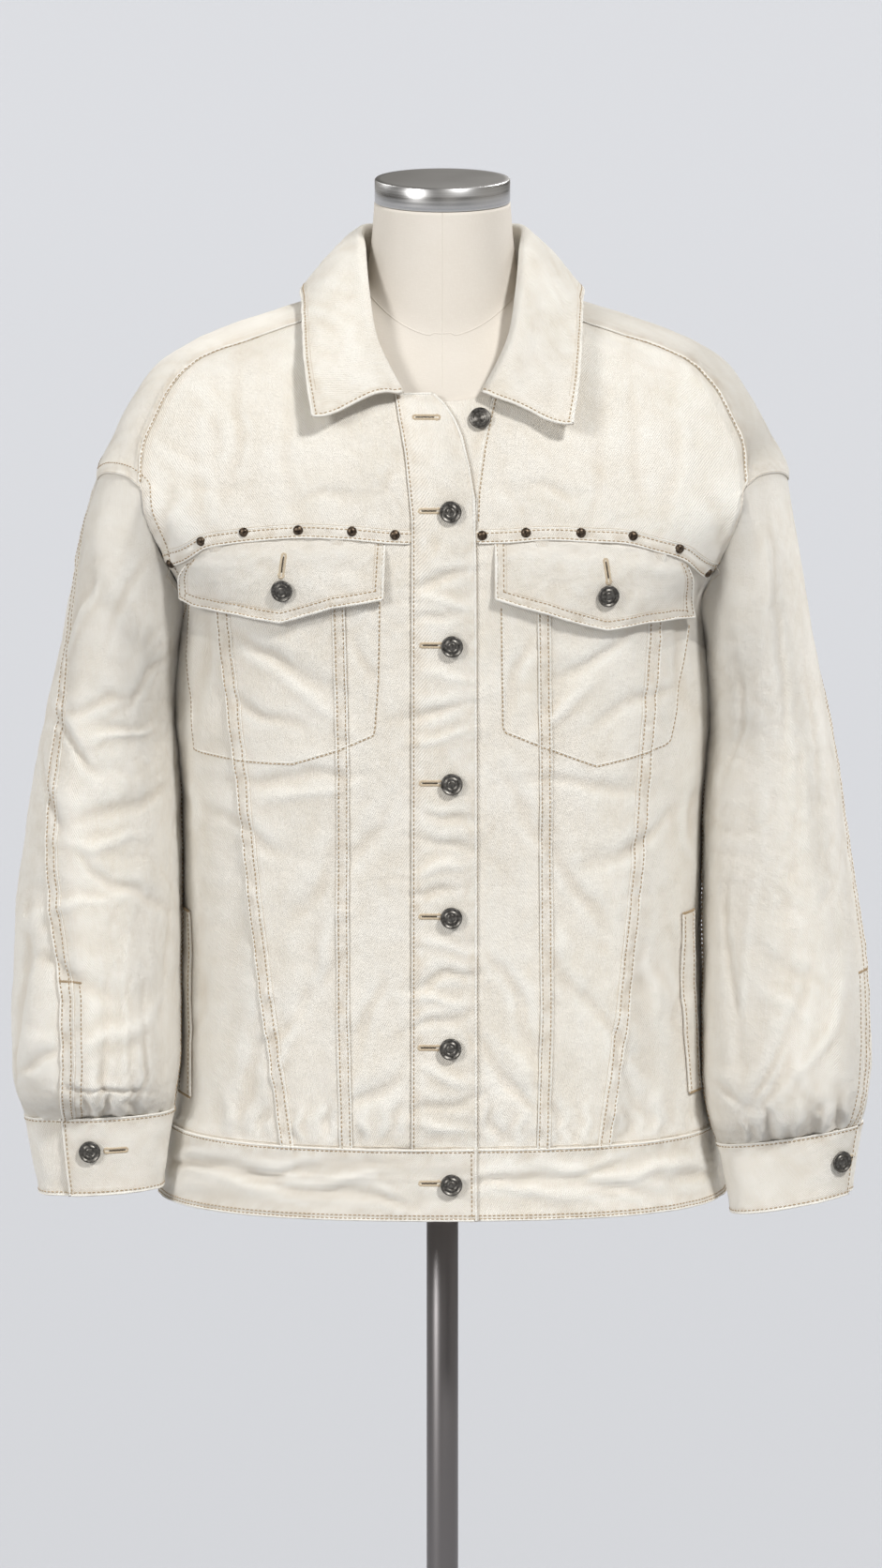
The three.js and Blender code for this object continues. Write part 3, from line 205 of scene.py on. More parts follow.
# Finish tints: a rolled edge rubbed pale with a painted highlight, and the thin painted shadow line beside an
# edge
WEAR_AND_HIGHLIGHT = (0.95, 0.0, 0.0)
PAINTED_SHADOW_LINE = (0.0, 0.6, 0.0)
# x, z
FRONT_BUTTONS = [
    [29.4, 1316], [6.6, 1246.4], [7.7, 1141.7], [7.3, 1033.1], [6.9, 927.9], [6.2, 824.3], [6.8, 717],
]
FLAP_BUTTONS = {"L": [-125, 1183.9], "R": [128.3, 1180.3]}
CUFF_BUTTONS = {"L": [82, 0.42], "R": [44, 0.46]}
STUDS = [
    [-212, 1198], [-188.5, 1219.5], [-155.1, 1228.5], [-112.5, 1231.5], [-70.6, 1231], [-37, 1228.5],
    [31, 1228], [65, 1230], [107.8, 1229.5], [148.5, 1226], [184.8, 1214], [207, 1190],
]

# Creases of the front as they hang: x, z, length, lean in degrees, width, depth (below 0 is a trough)
FRONT_CREASES = [
    [-128, 1125, 90, -28, 11, -1.5], [-105, 1100, 70, -35, 9, 1.2], [-140, 1085, 60, -20, 9, -1.1],
    [-60, 1128, 50, -70, 8, -0.8], [-118, 1036, 80, 8, 8, -1.6], [-112, 1022, 66, 12, 8, 1.1],
    [-150, 990, 60, -25, 10, -1.3], [-60, 985, 60, 55, 10, -1.0], [-100, 950, 80, 60, 12, -1.3],
    [-92, 900, 70, 78, 12, 1.2], [-105, 860, 80, 50, 10, -1.2], [-60, 840, 70, 70, 10, -1.3],
    [-128, 810, 80, 75, 10, 1.4], [-50, 790, 60, 40, 9, -1.5], [-150, 800, 60, 80, 10, -1.6],
    [-38, 765, 26, 70, 6, -1.8], [-60, 762, 22, 100, 6, 1.6], [-92, 764, 24, 80, 6, -1.6],
    [-112, 762, 22, 96, 6, 1.5], [-140, 764, 24, 84, 7, -1.6], [-165, 764, 26, 96, 7, 1.5],
    [120, 1130, 90, 30, 11, -1.2], [100, 1095, 70, 38, 10, 1.1], [145, 1090, 60, 24, 9, -1.2],
    [60, 1120, 60, 75, 9, -0.9], [112, 1030, 80, -10, 9, -1.3], [62, 1010, 60, -60, 9, -1.0],
    [150, 980, 70, 30, 11, -1.4], [110, 940, 80, -62, 12, -1.3], [96, 890, 80, -78, 12, 1.3],
    [118, 850, 90, -52, 10, -1.4], [58, 860, 80, -66, 10, -1.5], [50, 800, 70, -48, 9, -1.9],
    [70, 790, 60, -60, 8, 1.5], [140, 805, 80, -78, 10, -1.6], [165, 860, 90, -84, 11, 1.4],
    [40, 765, 26, 110, 6, -1.8], [62, 762, 22, 82, 6, 1.6], [90, 764, 26, 100, 6, -1.7],
    [112, 762, 24, 80, 6, 1.5], [142, 764, 26, 96, 7, -1.7], [168, 766, 26, 84, 7, 1.6],
    [0, 1195, 44, 14, 7, -1.6], [2, 1178, 40, -10, 6, 1.3], [-8, 1163, 34, 8, 6, -1.2],
    [4, 1118, 36, -12, 6, 1.2], [-2, 1068, 44, 10, 6, 1.3], [6, 1008, 36, -8, 6, -1.3],
    [-6, 948, 36, 12, 6, -1.2],
    [2, 905, 40, -10, 6, 1.3], [-4, 845, 40, 10, 6, -1.4], [4, 802, 40, -12, 6, 1.3],
    [-6, 1090, 46, 10, 7, -1.6],
    [4, 985, 46, -12, 7, -1.7], [-4, 966, 40, 8, 6, 1.4], [2, 880, 46, 14, 7, -1.8],
    [-4, 862, 40, -8, 6, 1.5], [3, 780, 46, 12, 7, -1.8], [-2, 762, 40, -8, 6, 1.4],
    [-160, 1300, 90, 84, 9, -0.8], [-184, 1280, 90, 92, 9, 0.7], [-120, 1285, 90, 96, 10, -0.7],
    [-215, 1240, 50, 82, 9, -1.4], [-80, 1258, 50, 8, 10, -0.8], [150, 1300, 90, 96, 9, -0.8],
    [188, 1278, 90, 84, 9, 0.8], [120, 1285, 90, 82, 10, -0.7], [215, 1235, 50, -84, 9, -1.5],
    [80, 1262, 50, -10, 10, -0.8], [-40, 1275, 50, 80, 10, -0.7], [50, 1270, 50, -70, 10, -0.8],
    [-185, 1120, 80, 84, 9, -1.6], [-190, 1010, 90, 88, 9, 1.5], [-188, 880, 90, 86, 9, -1.5],
    [186, 1110, 80, 96, 9, -1.6], [190, 1000, 90, 92, 9, 1.5], [186, 860, 80, 95, 9, -1.4],
]
# Creases of the hem band: x, z, length, lean, width, depth
BAND_CREASES = [
    [-190, 722, 50, 8, 6, -1.4], [-160, 712, 60, -10, 6, 1.2], [-130, 724, 60, 6, 5, -1.5],
    [-96, 711, 60, -6, 6, -1.3], [-70, 722, 50, 12, 5, 1.3], [-45, 706, 40, -14, 5, -1.3],
    [45, 720, 50, 10, 6, -1.5], [75, 709, 60, -8, 6, 1.3], [105, 723, 60, 8, 5, -1.6],
    [135, 711, 60, -10, 6, -1.3], [165, 722, 60, 8, 6, 1.3], [195, 712, 40, -8, 6, -1.3],
]
# Creases of the back: x, z, length, lean, width, depth
BACK_CREASES = [
    [-120, 1120, 130, 70, 16, -2.0], [-60, 1060, 150, 82, 18, 1.8], [10, 1090, 160, 92, 18, -1.8],
    [80, 1050, 150, 98, 16, 1.8], [130, 1110, 130, 110, 16, -2.0], [-90, 900, 160, 78, 16, -2.0],
    [30, 880, 150, 96, 16, 1.8], [110, 900, 160, 100, 16, -2.0], [-20, 1260, 120, 6, 16, -1.4],
    [90, 1290, 90, -24, 14, -1.3], [-100, 1285, 90, 26, 14, -1.3], [-150, 1010, 100, 60, 14, -1.6],
    [150, 1000, 100, -62, 14, -1.6], [-40, 765, 26, 88, 7, -1.7], [-90, 765, 26, 96, 7, 1.5],
    [20, 765, 26, 92, 7, 1.6], [70, 765, 26, 84, 7, -1.7], [130, 766, 26, 96, 7, 1.5],
    [-140, 766, 26, 86, 7, -1.6],
]

# Creases of the sleeves: distance round from the front middle, minus the distance down, length, lean,
# width, depth
SLEEVE_CREASES = {
    "L": [
        [8, -425, 120, 86, 8, -2.0], [27, -418, 110, 94, 7, 1.6], [45, -430, 100, 84, 7, -1.7],
        [-10, -450, 80, 97, 7, 1.3],
        [-20, -150, 81, 36, 8.6, -1.8], [10, -172, 72, 27, 7.8, 1.6], [-40, -196, 81, -21, 9.4, -2],
        [20, -236, 90, 18, 10.1, -2.4], [-10, -262, 81, 6, 8.6, 2], [-60, -240, 63, -45, 8.6, -1.7],
        [30, -300, 81, -24, 9.4, -2.2], [-30, -318, 81, 15, 9.4, 1.7], [-20, -356, 90, -9, 10.1, -2.1],
        [30, -388, 72, 24, 9.4, 1.6], [-50, -410, 72, 30, 9.4, -1.9], [10, -446, 72, -12, 8.6, -1.6],
        [40, -100, 81, 58, 9.4, -1.5], [-10, -60, 81, 72, 9.4, -1.3], [-60, -110, 72, 64, 9.4, 1.4],
        [-80, -380, 108, 80, 10.9, -2], [70, -350, 90, 84, 9.4, -1.5], [10, -478, 39.6, 82, 6.2, -2.2],
        [-12, -474, 39.6, 94, 6.2, 1.9], [34, -472, 39.6, 96, 6.2, -1.8],
    ],
    "R": [
        [-30, -120, 170, -80, 13, -1.0], [10, -180, 180, -84, 13, 0.8], [42, -150, 160, -78, 12, -1.0],
        [-52, -230, 150, -86, 12, -0.9], [-10, -300, 160, -80, 13, -1.1], [30, -330, 150, -74, 12, 0.9],
        [54, -350, 130, -96, 11, -1.1], [0, -396, 100, -62, 10, -1.5], [-35, -385, 90, -50, 10, 1.2],
        [26, -422, 90, -58, 9, -1.4], [-20, -440, 80, 70, 9, 1.1], [60, -428, 60, 30, 9, -1.1],
        [-10, -352, 60, 24, 8, -1.0], [14, -364, 60, 34, 8, 0.9], [-50, -478, 44, 84, 6, -1.8],
        [-30, -474, 50, 84, 7, -2.0], [-6, -470, 54, 96, 7, 1.8], [20, -470, 54, 86, 7, -2.0],
        [44, -476, 44, 94, 6, 1.6],
    ],
}
SLEEVE_BACK_CREASES = [
    [0, -230, 110, 8, 14, -2.2], [10, -262, 110, -8, 13, 1.9], [-10, -300, 110, 12, 14, -2.2],
    [0, -345, 100, -10, 13, 1.7], [10, -390, 100, 8, 14, -2.0], [0, -110, 110, 70, 14, -1.5],
    [30, -150, 100, 62, 13, 1.4], [-10, -460, 60, 84, 10, -1.8], [24, -466, 60, 92, 10, 1.6],
]


# Tables and smooth fields
def blend_rows(rows, level):
    """Smooth values between the rows of a table."""
    rows = np.asarray(rows, float)
    last = len(rows) - 1
    v = np.clip(np.asarray(level, float), 0, last)
    i = np.minimum(v.astype(int), last - 1)
    f = (v - i)[..., None]
    p0, p1 = rows[np.maximum(i - 1, 0)], rows[i]
    p2, p3 = rows[i + 1], rows[np.minimum(i + 2, last)]
    m1, m2 = (p2 - p0) / 2, (p3 - p1) / 2
    return ((2 * f ** 3 - 3 * f * f + 1) * p1 + (f ** 3 - 2 * f * f + f) * m1
            + (3 * f * f - 2 * f ** 3) * p2 + (f ** 3 - f * f) * m2)


def smooth_table(rows, key):
    rows = np.asarray(rows, float)
    keys = rows[:, 0]
    key = np.clip(np.asarray(key, float), keys[0], keys[-1])
    i = np.clip(np.searchsorted(keys, key, side="right") - 1, 0, len(keys) - 2)
    return blend_rows(rows, i + (key - keys[i]) / (keys[i + 1] - keys[i]))


def column(rows, key, k):
    """Straight interpolation of one column of a table keyed by its first."""
    rows = np.asarray(rows, float)
    order = np.argsort(rows[:, 0])
    return np.interp(key, rows[order, 0], rows[order, k])


def ease(low, high, value):
    f = np.clip((np.asarray(value, float) - low) / (high - low), 0, 1)
    return f * f * (3 - 2 * f)


def hump(value, half):
    f = np.minimum(np.abs(value) / half, 1)
    return (1 + np.cos(np.pi * f)) / 2


def apart(a, b):
    return (np.asarray(a, float) - b + 180) % 360 - 180


def noise(x, y, seed=0.0):
    """Smooth lattice noise from -1 to 1."""
    x, y = np.asarray(x, float), np.asarray(y, float)
    xi, yi = np.floor(x), np.floor(y)
    fx, fy = x - xi, y - yi
    fx = fx ** 3 * (fx * (fx * 6 - 15) + 10)
    fy = fy ** 3 * (fy * (fy * 6 - 15) + 10)

    def at(a, b):
        h = np.sin(a * 127.1 + b * 311.7 + seed * 74.7) * 43758.5453
        return (h - np.floor(h)) * 2 - 1

    low = at(xi, yi) * (1 - fx) + at(xi + 1, yi) * fx
    high = at(xi, yi + 1) * (1 - fx) + at(xi + 1, yi + 1) * fx
    return low * (1 - fy) + high * fy


def layered(x, y, seed, octaves=3):
    total, size = 0.0, 1.0
    for k in range(octaves):
        total = total + size * noise(x * 2 ** k, y * 2 ** k, seed + 11 * k)
        size *= 0.5
    return total


def crinkle(x, y, seed):
    """Soft net of fine troughs, as washed cotton keeps."""
    bend = 0.8 * noise(x * 0.7, y * 0.7, seed + 5)
    a = 1 - np.abs(noise(x + bend, y - bend, seed))
    b = 1 - np.abs(noise(x * 1.9 - bend, y * 1.9, seed + 3))
    return -(a ** 4) - 0.5 * b ** 4


def crease_field(rows, x, z):
    total = np.zeros(np.broadcast(x, z).shape)
    for k, (cx, cz, length, lean, width, depth) in enumerate(rows):
        c, s = math.cos(math.radians(lean)), math.sin(math.radians(lean))
        along = (x - cx) * c + (z - cz) * s
        across = -(x - cx) * s + (z - cz) * c
        bow = 0.0016 * along * along * math.sin(k * 2.3) + 0.25 * width * np.sin(along / length * 6 + k)
        across = across + bow + 2.5 * noise(along / 21, across / 30, k + 5.0)
        size = width * (1.15 + 0.3 * np.sin(along / length * 4 + 2 * k))
        fade = np.exp(-((along / (0.55 * length)) ** 2)) * (1 + 0.3 * noise(along / 17, k * 3.1, 9.0))
        shape = np.exp(-((across / (0.44 * size)) ** 2))
        shoulder = 0.4 * np.exp(-(((across - 1.2 * size) / (0.8 * size)) ** 2))
        total = total + depth * fade * (shape - shoulder)
    return 1.5 * total


# Body surface
def ring_point(rings, degrees):
    z_front, z_side, z_back, a, b_front, b_back, n = np.moveaxis(rings, -1, 0)
    t = np.radians(degrees)
    c, s = np.cos(t), np.sin(t)
    b = np.where(s < 0, b_front, b_back)
    z_end = np.where(s < 0, z_front, z_back)
    r = ((np.abs(c) / a) ** n + (np.abs(s) / b) ** n) ** (-1 / n)
    share = np.minimum(1, np.abs(r * s) / b)
    return np.stack([r * c, r * s, z_side + (z_end - z_side) * share ** 2], -1)


def body_base(degrees, level):
    degrees, level = np.broadcast_arrays(np.asarray(degrees, float), np.asarray(level, float))
    return ring_point(blend_rows(BODY_RINGS, level), degrees)


def unit(v):
    return v / np.maximum(np.linalg.norm(v, axis=-1, keepdims=True), 1e-12)


def seam_x(side, k, z):
    return column(FRONT_SEAMS[side], z, k)


def yoke_z(side, x):
    return smooth_table(YOKE_SEAM[side], x)[..., 1]


def body_relief(degrees, p):
    """How far the cloth of the body stands out of or behind its plain form."""
    x, y, z = p[..., 0], p[..., 1], p[..., 2]
    side = np.minimum(np.abs(apart(degrees, 0)), np.abs(apart(degrees, 180)))
    total = hump(side, 34) * np.interp(z, SIDE_BULGE[:, 0], SIDE_BULGE[:, 1])
    for middle, half, top, depth in BODY_WAVES:
        fade = ease(top, top - 160, z) * ease(746, 800, z)
        total = total + depth * hump(apart(degrees, middle), half) * fade
    arc = x + 1.3 * y
    front = ease(8, -30, y)
    back = ease(-8, 30, y)
    inside_band = ease(748, 741, z)
    above = 1 - inside_band
    total = total + front * above * crease_field(FRONT_CREASES, x, z)
    total = total + 1.5 * front * inside_band * crease_field(BAND_CREASES, x, z)
    total = total + back * above * crease_field(BACK_CREASES, x, z)
    total = total + above * 0.75 * layered(x / 46 + y / 60, z / 52, 3.0, 3)
    total = total + above * 0.55 * crinkle(x / 30 + y / 40, z / 36, 8.0) * ease(
        -0.4, 0.5, noise(arc / 90, z / 90, 4))
    total = total + above * 0.26 * crinkle(x / 13 + y / 17, z / 15, 12.0)
    total = total + inside_band * (
        0.7 * layered(arc / 26, z / 15, 21.0, 2) + 0.4 * crinkle(arc / 14, z / 9, 13.0))
    # Puckers beside the seams
    ripple = noise(arc / 9.0, z / 17.0, 31.0) + 0.5 * noise(arc / 5.2, z / 13.0, 32.0)
    upright = noise(z / 9.5, x / 15.0, 33.0) + 0.5 * noise(z / 5.5, x / 11.0, 34.0)
    total = total + 1.4 * above * np.exp(-((z - BAND_Z) / 17) ** 2) * ripple
    total = total + 0.45 * inside_band * np.exp(-((z - 741) / 10) ** 2) * ripple
    total = total + 0.4 * np.exp(-((z - 692) / 9) ** 2) * ripple
    low = (z > 741) & (z < 1232)
    for side in "LR":
        for k in (1, 2):
            d = x - seam_x(side, k, z)
            total = total + front * low * 0.6 * np.exp(-(d / 8) ** 2) * upright
        limit = YOKE_SEAM[side][:, 0]
        inside = (x >= limit.min() - 14) & (x <= limit.max() + 14)
        d = z - yoke_z(side, np.clip(x, limit.min(), limit.max()))
        total = total + front * inside * 0.5 * np.exp(-((d - 2) / 8) ** 2) * ripple
    d = x - column(PLACKET_INNER, z, 1)
    total = total + front * 0.5 * np.exp(-(d / 7) ** 2) * upright
    d = x - column(PLACKET_EDGE, z, 1)
    total = total + front * 0.3 * np.exp(-(d / 8) ** 2) * upright
    d = z - (1236 - 0.02 * np.abs(x))
    total = total + back * above * 0.4 * np.exp(-(d / 8) ** 2) * ripple
    return total


def body_at(degrees, level, out=0.0):
    """Points of the jacket body, moved out by a distance along the normal."""
    degrees, level = np.broadcast_arrays(np.asarray(degrees, float), np.asarray(level, float))
    p = body_base(degrees, level)
    low = np.clip(level - 0.01, 0, NECK_LEVEL)
    high = np.clip(level + 0.01, 0, NECK_LEVEL)
    across = body_base(degrees + 0.2, level) - body_base(degrees - 0.2, level)
    up = body_base(degrees, high) - body_base(degrees, low)
    normal = unit(np.cross(across, up))
    return p + normal * (out + body_relief(degrees, p))[..., None]


def front_spot(x, z):
    """Angle and level of the front points at x, z."""
    x, z = np.broadcast_arrays(np.asarray(x, float), np.asarray(z, float))
    shape = x.shape
    x, z = x.ravel(), z.ravel()
    low, high = np.zeros(len(x)), np.full(len(x), NECK_LEVEL)
    best = low
    for _ in range(4):
        levels = low[:, None] + (high - low)[:, None] * np.linspace(0, 1, 49)
        rings = blend_rows(BODY_RINGS, levels)
        u = np.abs(x)[:, None] / rings[..., 3]
        share = np.maximum(1 - np.minimum(u, 0.9995) ** rings[..., 6], 0) ** (2 / rings[..., 6])
        height = rings[..., 1] + (rings[..., 0] - rings[..., 1]) * share
        miss = np.where(u < 0.9995, np.abs(height - z[:, None]), 1e6)
        best = levels[np.arange(len(x)), miss.argmin(1)]
        reach = (high - low) / 30
        low, high = np.maximum(best - reach, 0), np.minimum(best + reach, NECK_LEVEL)
    ring = blend_rows(BODY_RINGS, best)
    y = -ring[:, 4] * (1 - np.minimum(np.abs(x) / ring[:, 3], 0.9995) ** ring[:, 6]) ** (1 / ring[:, 6])
    return np.degrees(np.arctan2(y, x)).reshape(shape), best.reshape(shape)


def front_degrees(side, from_side):
    return -180 + from_side if side == "L" else -from_side


def armhole_spot(side, turn):
    row = smooth_table(ARMHOLE_ROUND, (np.asarray(turn, float) + 180) % 360 - 180)
    return front_degrees(side, row[..., 1]), row[..., 2]


def pair(u, v):
    u, v = np.broadcast_arrays(np.asarray(u, float), np.asarray(v, float))
    return np.stack([u, v], -1)


def yoke_spot(side, x):
    x = np.asarray(x, float)
    rows = YOKE_SEAM[side]
    ends = np.abs(rows[:, 0]).max()
    sign = -1 if side == "L" else 1
    inner = np.clip(np.abs(x), 0, ends) * sign
    u, v = front_spot(inner, yoke_z(side, inner))
    goal_u, goal_v = armhole_spot(side, YOKE_TURN)
    f = np.clip((np.abs(x) - ends) / (YOKE_REACH - ends), 0, 1)
    return pair(u + (goal_u - u) * f, v + (goal_v - v) * f)


def find_top(side, x_at):
    z = 1220.0
    for _ in range(6):
        z = float(yoke_z(side, x_at(z)))
    return z


def seam_column(x_at, z_high, z_low=BAND_Z):
    def edge(t):
        z = z_low + (z_high - z_low) * t
        u, v = front_spot(x_at(z), z)
        return pair(u, np.where(t <= 0, 1.0, v) if z_low == BAND_Z else v)
    return edge


def side_edge(side, bend, last_turn, added):
    def edge(t):
        line = front_degrees(side, 0) + added
        start = -180 if last_turn < 0 else 180
        share = np.clip((t - bend) / (1 - bend), 0, 1)
        u, v = armhole_spot(side, np.clip(start + (last_turn - start) * share, -179.99, 179.99))
        below = t <= bend
        return pair(np.where(below, line, u + added),
                    np.where(below, 1 + (UNDERARM_LEVEL - 1) * np.minimum(t / bend, 1), v))
    return edge


def shoulder_edge(side, added):
    u, v = armhole_spot(side, SHOULDER_TURN)
    rows = [[0, float(u), float(v)]]
    rows += [[s, front_degrees(side, d), at] for s, d, at in SHOULDER_SEAM]
    rows.append([1, front_degrees(side, NECK_DEGREES), NECK_LEVEL])

    def edge(t):
        found = smooth_table(rows, t)
        return pair(found[..., 1] + added, found[..., 2])
    return edge


def spread(edges, s, t):
    """Spots between four edges, at the shares s across and t up."""
    bottom, top, left, right = edges
    b, u, l, r = bottom(s)[None], top(s)[None], left(t)[:, None], right(t)[:, None]
    c00, c10, c01, c11 = b[:, :1], b[:, -1:], u[:, :1], u[:, -1:]
    s, t = s[None, :, None], t[:, None, None]
    return ((1 - t) * b + t * u + (1 - s) * l + s * r - (1 - s) * (1 - t) * c00 - s * (1 - t) * c10
            - (1 - s) * t * c01 - s * t * c11)


# Mesh making
def mesh_object(name, points, faces, smooth=True, uv=None, tint=None):
    """faces is an array of quads or triangles, or a list of such arrays."""
    mesh = bpy.data.meshes.new(name)
    groups = faces if isinstance(faces, list) else [faces]
    groups = [np.asarray(g, np.int32) for g in groups if len(g)]
    loops = np.concatenate([g.ravel() for g in groups])
    totals = np.concatenate([np.full(len(g), g.shape[1], np.int32) for g in groups])
    starts = np.concatenate([[0], np.cumsum(totals)[:-1]]).astype(np.int32)
    mesh.vertices.add(len(points))
    mesh.vertices.foreach_set("co", np.ascontiguousarray(points * MM, np.float32).ravel())
    mesh.loops.add(len(loops))
    mesh.loops.foreach_set("vertex_index", loops)
    mesh.polygons.add(len(totals))
    mesh.polygons.foreach_set("loop_start", starts)
    mesh.polygons.foreach_set("loop_total", totals)
    mesh.update(calc_edges=True)
    mesh.polygons.foreach_set("use_smooth", np.full(len(totals), smooth, bool))
    if uv is not None:
        layer = mesh.uv_layers.new(name="cloth")
        layer.data.foreach_set("uv", np.ascontiguousarray(uv[loops] * MM, np.float32).ravel())
    if tint is not None:
        colour = mesh.attributes.new("finish", "FLOAT_COLOR", "POINT")
        full = np.ones((len(points), 4), np.float32)
        full[:, :3] = np.clip(tint, 0, 1)
        colour.data.foreach_set("color", full.ravel())
    mesh.validate()
    made = bpy.data.objects.new(name, mesh)
    bpy.context.scene.collection.objects.link(made)
    return made


def grid_faces(rows, columns, wrap=False, start=0):
    r, c = np.meshgrid(np.arange(rows - 1), np.arange(columns if wrap else columns - 1), indexing="ij")
    n = (c + 1) % columns
    quad = np.stack([r * columns + c, r * columns + n, (r + 1) * columns + n, (r + 1) * columns + c], -1)
    return quad.reshape(-1, 4) + start


def facing(points, faces, outward):
    """Turn the faces over where they look away from the outward direction."""
    a, b, c = points[faces[:, 0]], points[faces[:, 1]], points[faces[:, 2]]
    normal = np.cross(b - a, c - a)
    if (normal * outward[faces[:, 0]]).sum() < 0:
        return faces[:, ::-1]
    return faces


def lengths(grid, axis):
    step = np.linalg.norm(np.diff(grid, axis=axis), axis=-1)
    zero = np.zeros_like(np.take(step, [0], axis=axis))
    return np.concatenate([zero, np.cumsum(step, axis=axis)], axis=axis)


def tone_of(p, normal, reach=3):
    """Painted highlight on the ridges, with the pale of rubbing, and painted shade in the hollows of a grid of
    points, each from 0 to 1.
    """
    def moved(by, axis):
        index = np.clip(np.arange(p.shape[axis]) + by, 0, p.shape[axis] - 1)
        return np.take(p, index, axis=axis)

    around = (moved(reach, 0) + moved(-reach, 0) + moved(reach, 1) + moved(-reach, 1)) / 4
    rise = ((p - around) * normal).sum(-1)
    rise[:reach] = rise[-reach:] = 0
    rise[:, :reach] = rise[:, -reach:] = 0
    return np.clip(rise / 1.1, 0, 0.7), np.clip(-rise / 3.2, 0, 0.2)


def edge_marks(d, along, width, height, marks):
    """Height of a folded edge, the pale tone on it (rubbed pale, with a painted highlight on the pucker crests)
    and painted tan shade in its pucker troughs and on the cloth just beyond it.
    """
    wear_and_highlight, painted_shade = marks
    ripple = noise(along / 6.5, d / 9, 41) + 0.6 * noise(along / 3.6, d / 6, 42)
    on = np.abs(height) > 0.05
    # Rubbed pale with a painted highlight, stronger on the crests, at the edge and at the fold; then painted
    # tan shade in the troughs and just beyond the strip
    rub_and_highlight = np.exp(-((d - 0.8) / 1.7) ** 2) * (0.75 + 0.35 * ripple)
    line = 0.5 * np.exp(-((d - width) / 1.8) ** 2) * (0.6 + 0.4 * ripple)
    painted_tan_shade = np.exp(-((d - 0.5 * width) / (0.6 * width)) ** 2) * (0.26 - 0.3 * ripple)
    beside = 0.5 * np.exp(-((np.maximum(d - width, 0) / 5) ** 2)) * (0.34 - 0.3 * ripple)
    wear_and_highlight[:] = np.maximum(wear_and_highlight, on * np.maximum(rub_and_highlight, line))
    painted_shade[:] = np.maximum(painted_shade, on * np.maximum(painted_tan_shade, beside))
    return height * ease(width + 1.6, width - 0.5, d) * (1 + 0.25 * ripple)


def cloth_object(name, at, spots, raises, base_out=0.0, thickness=CLOTH, closed=False, hem=2):
    """One piece of cloth with rolled edges.

    raises holds the width and height of the folded edge at the left, right, bottom and top; a height
    may be an array along that edge.
    """
    u, v = spots[..., 0], spots[..., 1]
    flat = at(u, v, base_out)
    normal = unit(at(u, v, base_out + 1) - flat)
    from_left, from_bottom = lengths(flat, 1), lengths(flat, 0)
    away = {"left": from_left, "right": from_left[:, -1:] - from_left,
            "bottom": from_bottom, "top": from_bottom[-1:, :] - from_bottom}
    # Painted highlight on ridges, with the pale of rubbing, and painted shade in hollows
    wear_and_highlight, painted_shade = tone_of(flat, normal)
    out = np.zeros(u.shape)
    for edge, (width, height) in raises.items():
        height = np.asarray(height, float)
        upright = edge in ("left", "right")
        if height.ndim:
            height = height[:, None] if upright else height[None, :]
        height = np.broadcast_to(height, u.shape)
        along = from_bottom if upright else from_left
        out = np.maximum(out, edge_marks(away[edge], along, width, height, (wear_and_highlight, painted_shade)))
    top = flat + normal * out[..., None]
    rows, columns = u.shape
    pad = [0, 0] if closed else [hem, 0, 0]
    order_r = np.r_[pad, np.arange(rows), [rows - 1 - k for k in pad[::-1]]]
    order_c = np.r_[pad, np.arange(columns), [columns - 1 - k for k in pad[::-1]]]
    nr, nc = len(order_r), len(order_c)
    drops = [1.0, 0.5] if closed else [1.0, 1.0, 0.5]
    drop = np.zeros((nr, nc))
    bulge = np.zeros((nr, nc, 3))
    grid_p, grid_n = top[order_r][:, order_c], normal[order_r][:, order_c]
    for k, depth in enumerate(drops):
        for r in (k, nr - 1 - k):
            drop[r] = np.maximum(drop[r], depth)
        for c in (k, nc - 1 - k):
            drop[:, c] = np.maximum(drop[:, c], depth)
    k = len(drops) - 1
    bulge[:, k] += unit(top[:, 0] - top[:, 2])[order_r]
    bulge[:, nc - 1 - k] += unit(top[:, -1] - top[:, -3])[order_r]
    bulge[k] += unit(top[0] - top[2])[order_c]
    bulge[nr - 1 - k] += unit(top[-1] - top[-3])[order_c]
    points = (grid_p - grid_n * (drop * thickness)[..., None] + 0.3 * thickness * bulge).reshape(-1, 3)
    faces = facing(points, grid_faces(nr, nc), grid_n.reshape(-1, 3))
    uv = np.stack([from_left, from_bottom], -1)[order_r][:, order_c].reshape(-1, 2)
    tint = np.stack([wear_and_highlight, painted_shade, np.zeros_like(wear_and_highlight)], -1)[order_r][:, order_c]
    # The turned-in rim gets the full tan: a painted shadow line round the edge of the piece
    tint[drop >= 0.5] = (0.0, 1.0, 0.0)
    tint = tint.reshape(-1, 3)
    if closed:
        row = np.where(np.arange(rows) == rows - 1, nr - 1,
                       np.where(np.arange(rows) == 0, 0, np.arange(rows) + 2))
        line = np.where(np.arange(columns) == columns - 1, nc - 1,
                        np.where(np.arange(columns) == 0, 0, np.arange(columns) + 2))
        index = row[:, None] * nc + line[None]
        index[1:-1, 1:-1] = nr * nc + np.arange((rows - 2) * (columns - 2)).reshape(rows - 2, columns - 2)
        under = (top - normal * thickness)[1:-1, 1:-1].reshape(-1, 3)
        grid_uv, grid_tint = uv.reshape(nr, nc, 2), tint.reshape(nr, nc, 3)
        points = np.concatenate([points, under])
        uv = np.concatenate([uv, grid_uv[3:-3, 3:-3].reshape(-1, 2)])
        tint = np.concatenate([tint, grid_tint[3:-3, 3:-3].reshape(-1, 3)])
        back = index.ravel()[grid_faces(rows, columns)]
        away = np.zeros_like(points)
        away[index.ravel()] = -normal.reshape(-1, 3)
        faces = np.concatenate([faces, facing(points, back, away)])
    return mesh_object(name, points, faces, uv=uv, tint=tint)


def piece_spots(edges, width, height, grid):
    across, up = (max(8, int(round(size / grid))) for size in (width, height))
    return spread(edges, np.linspace(0, 1, across + 1), np.linspace(0, 1, up + 1))


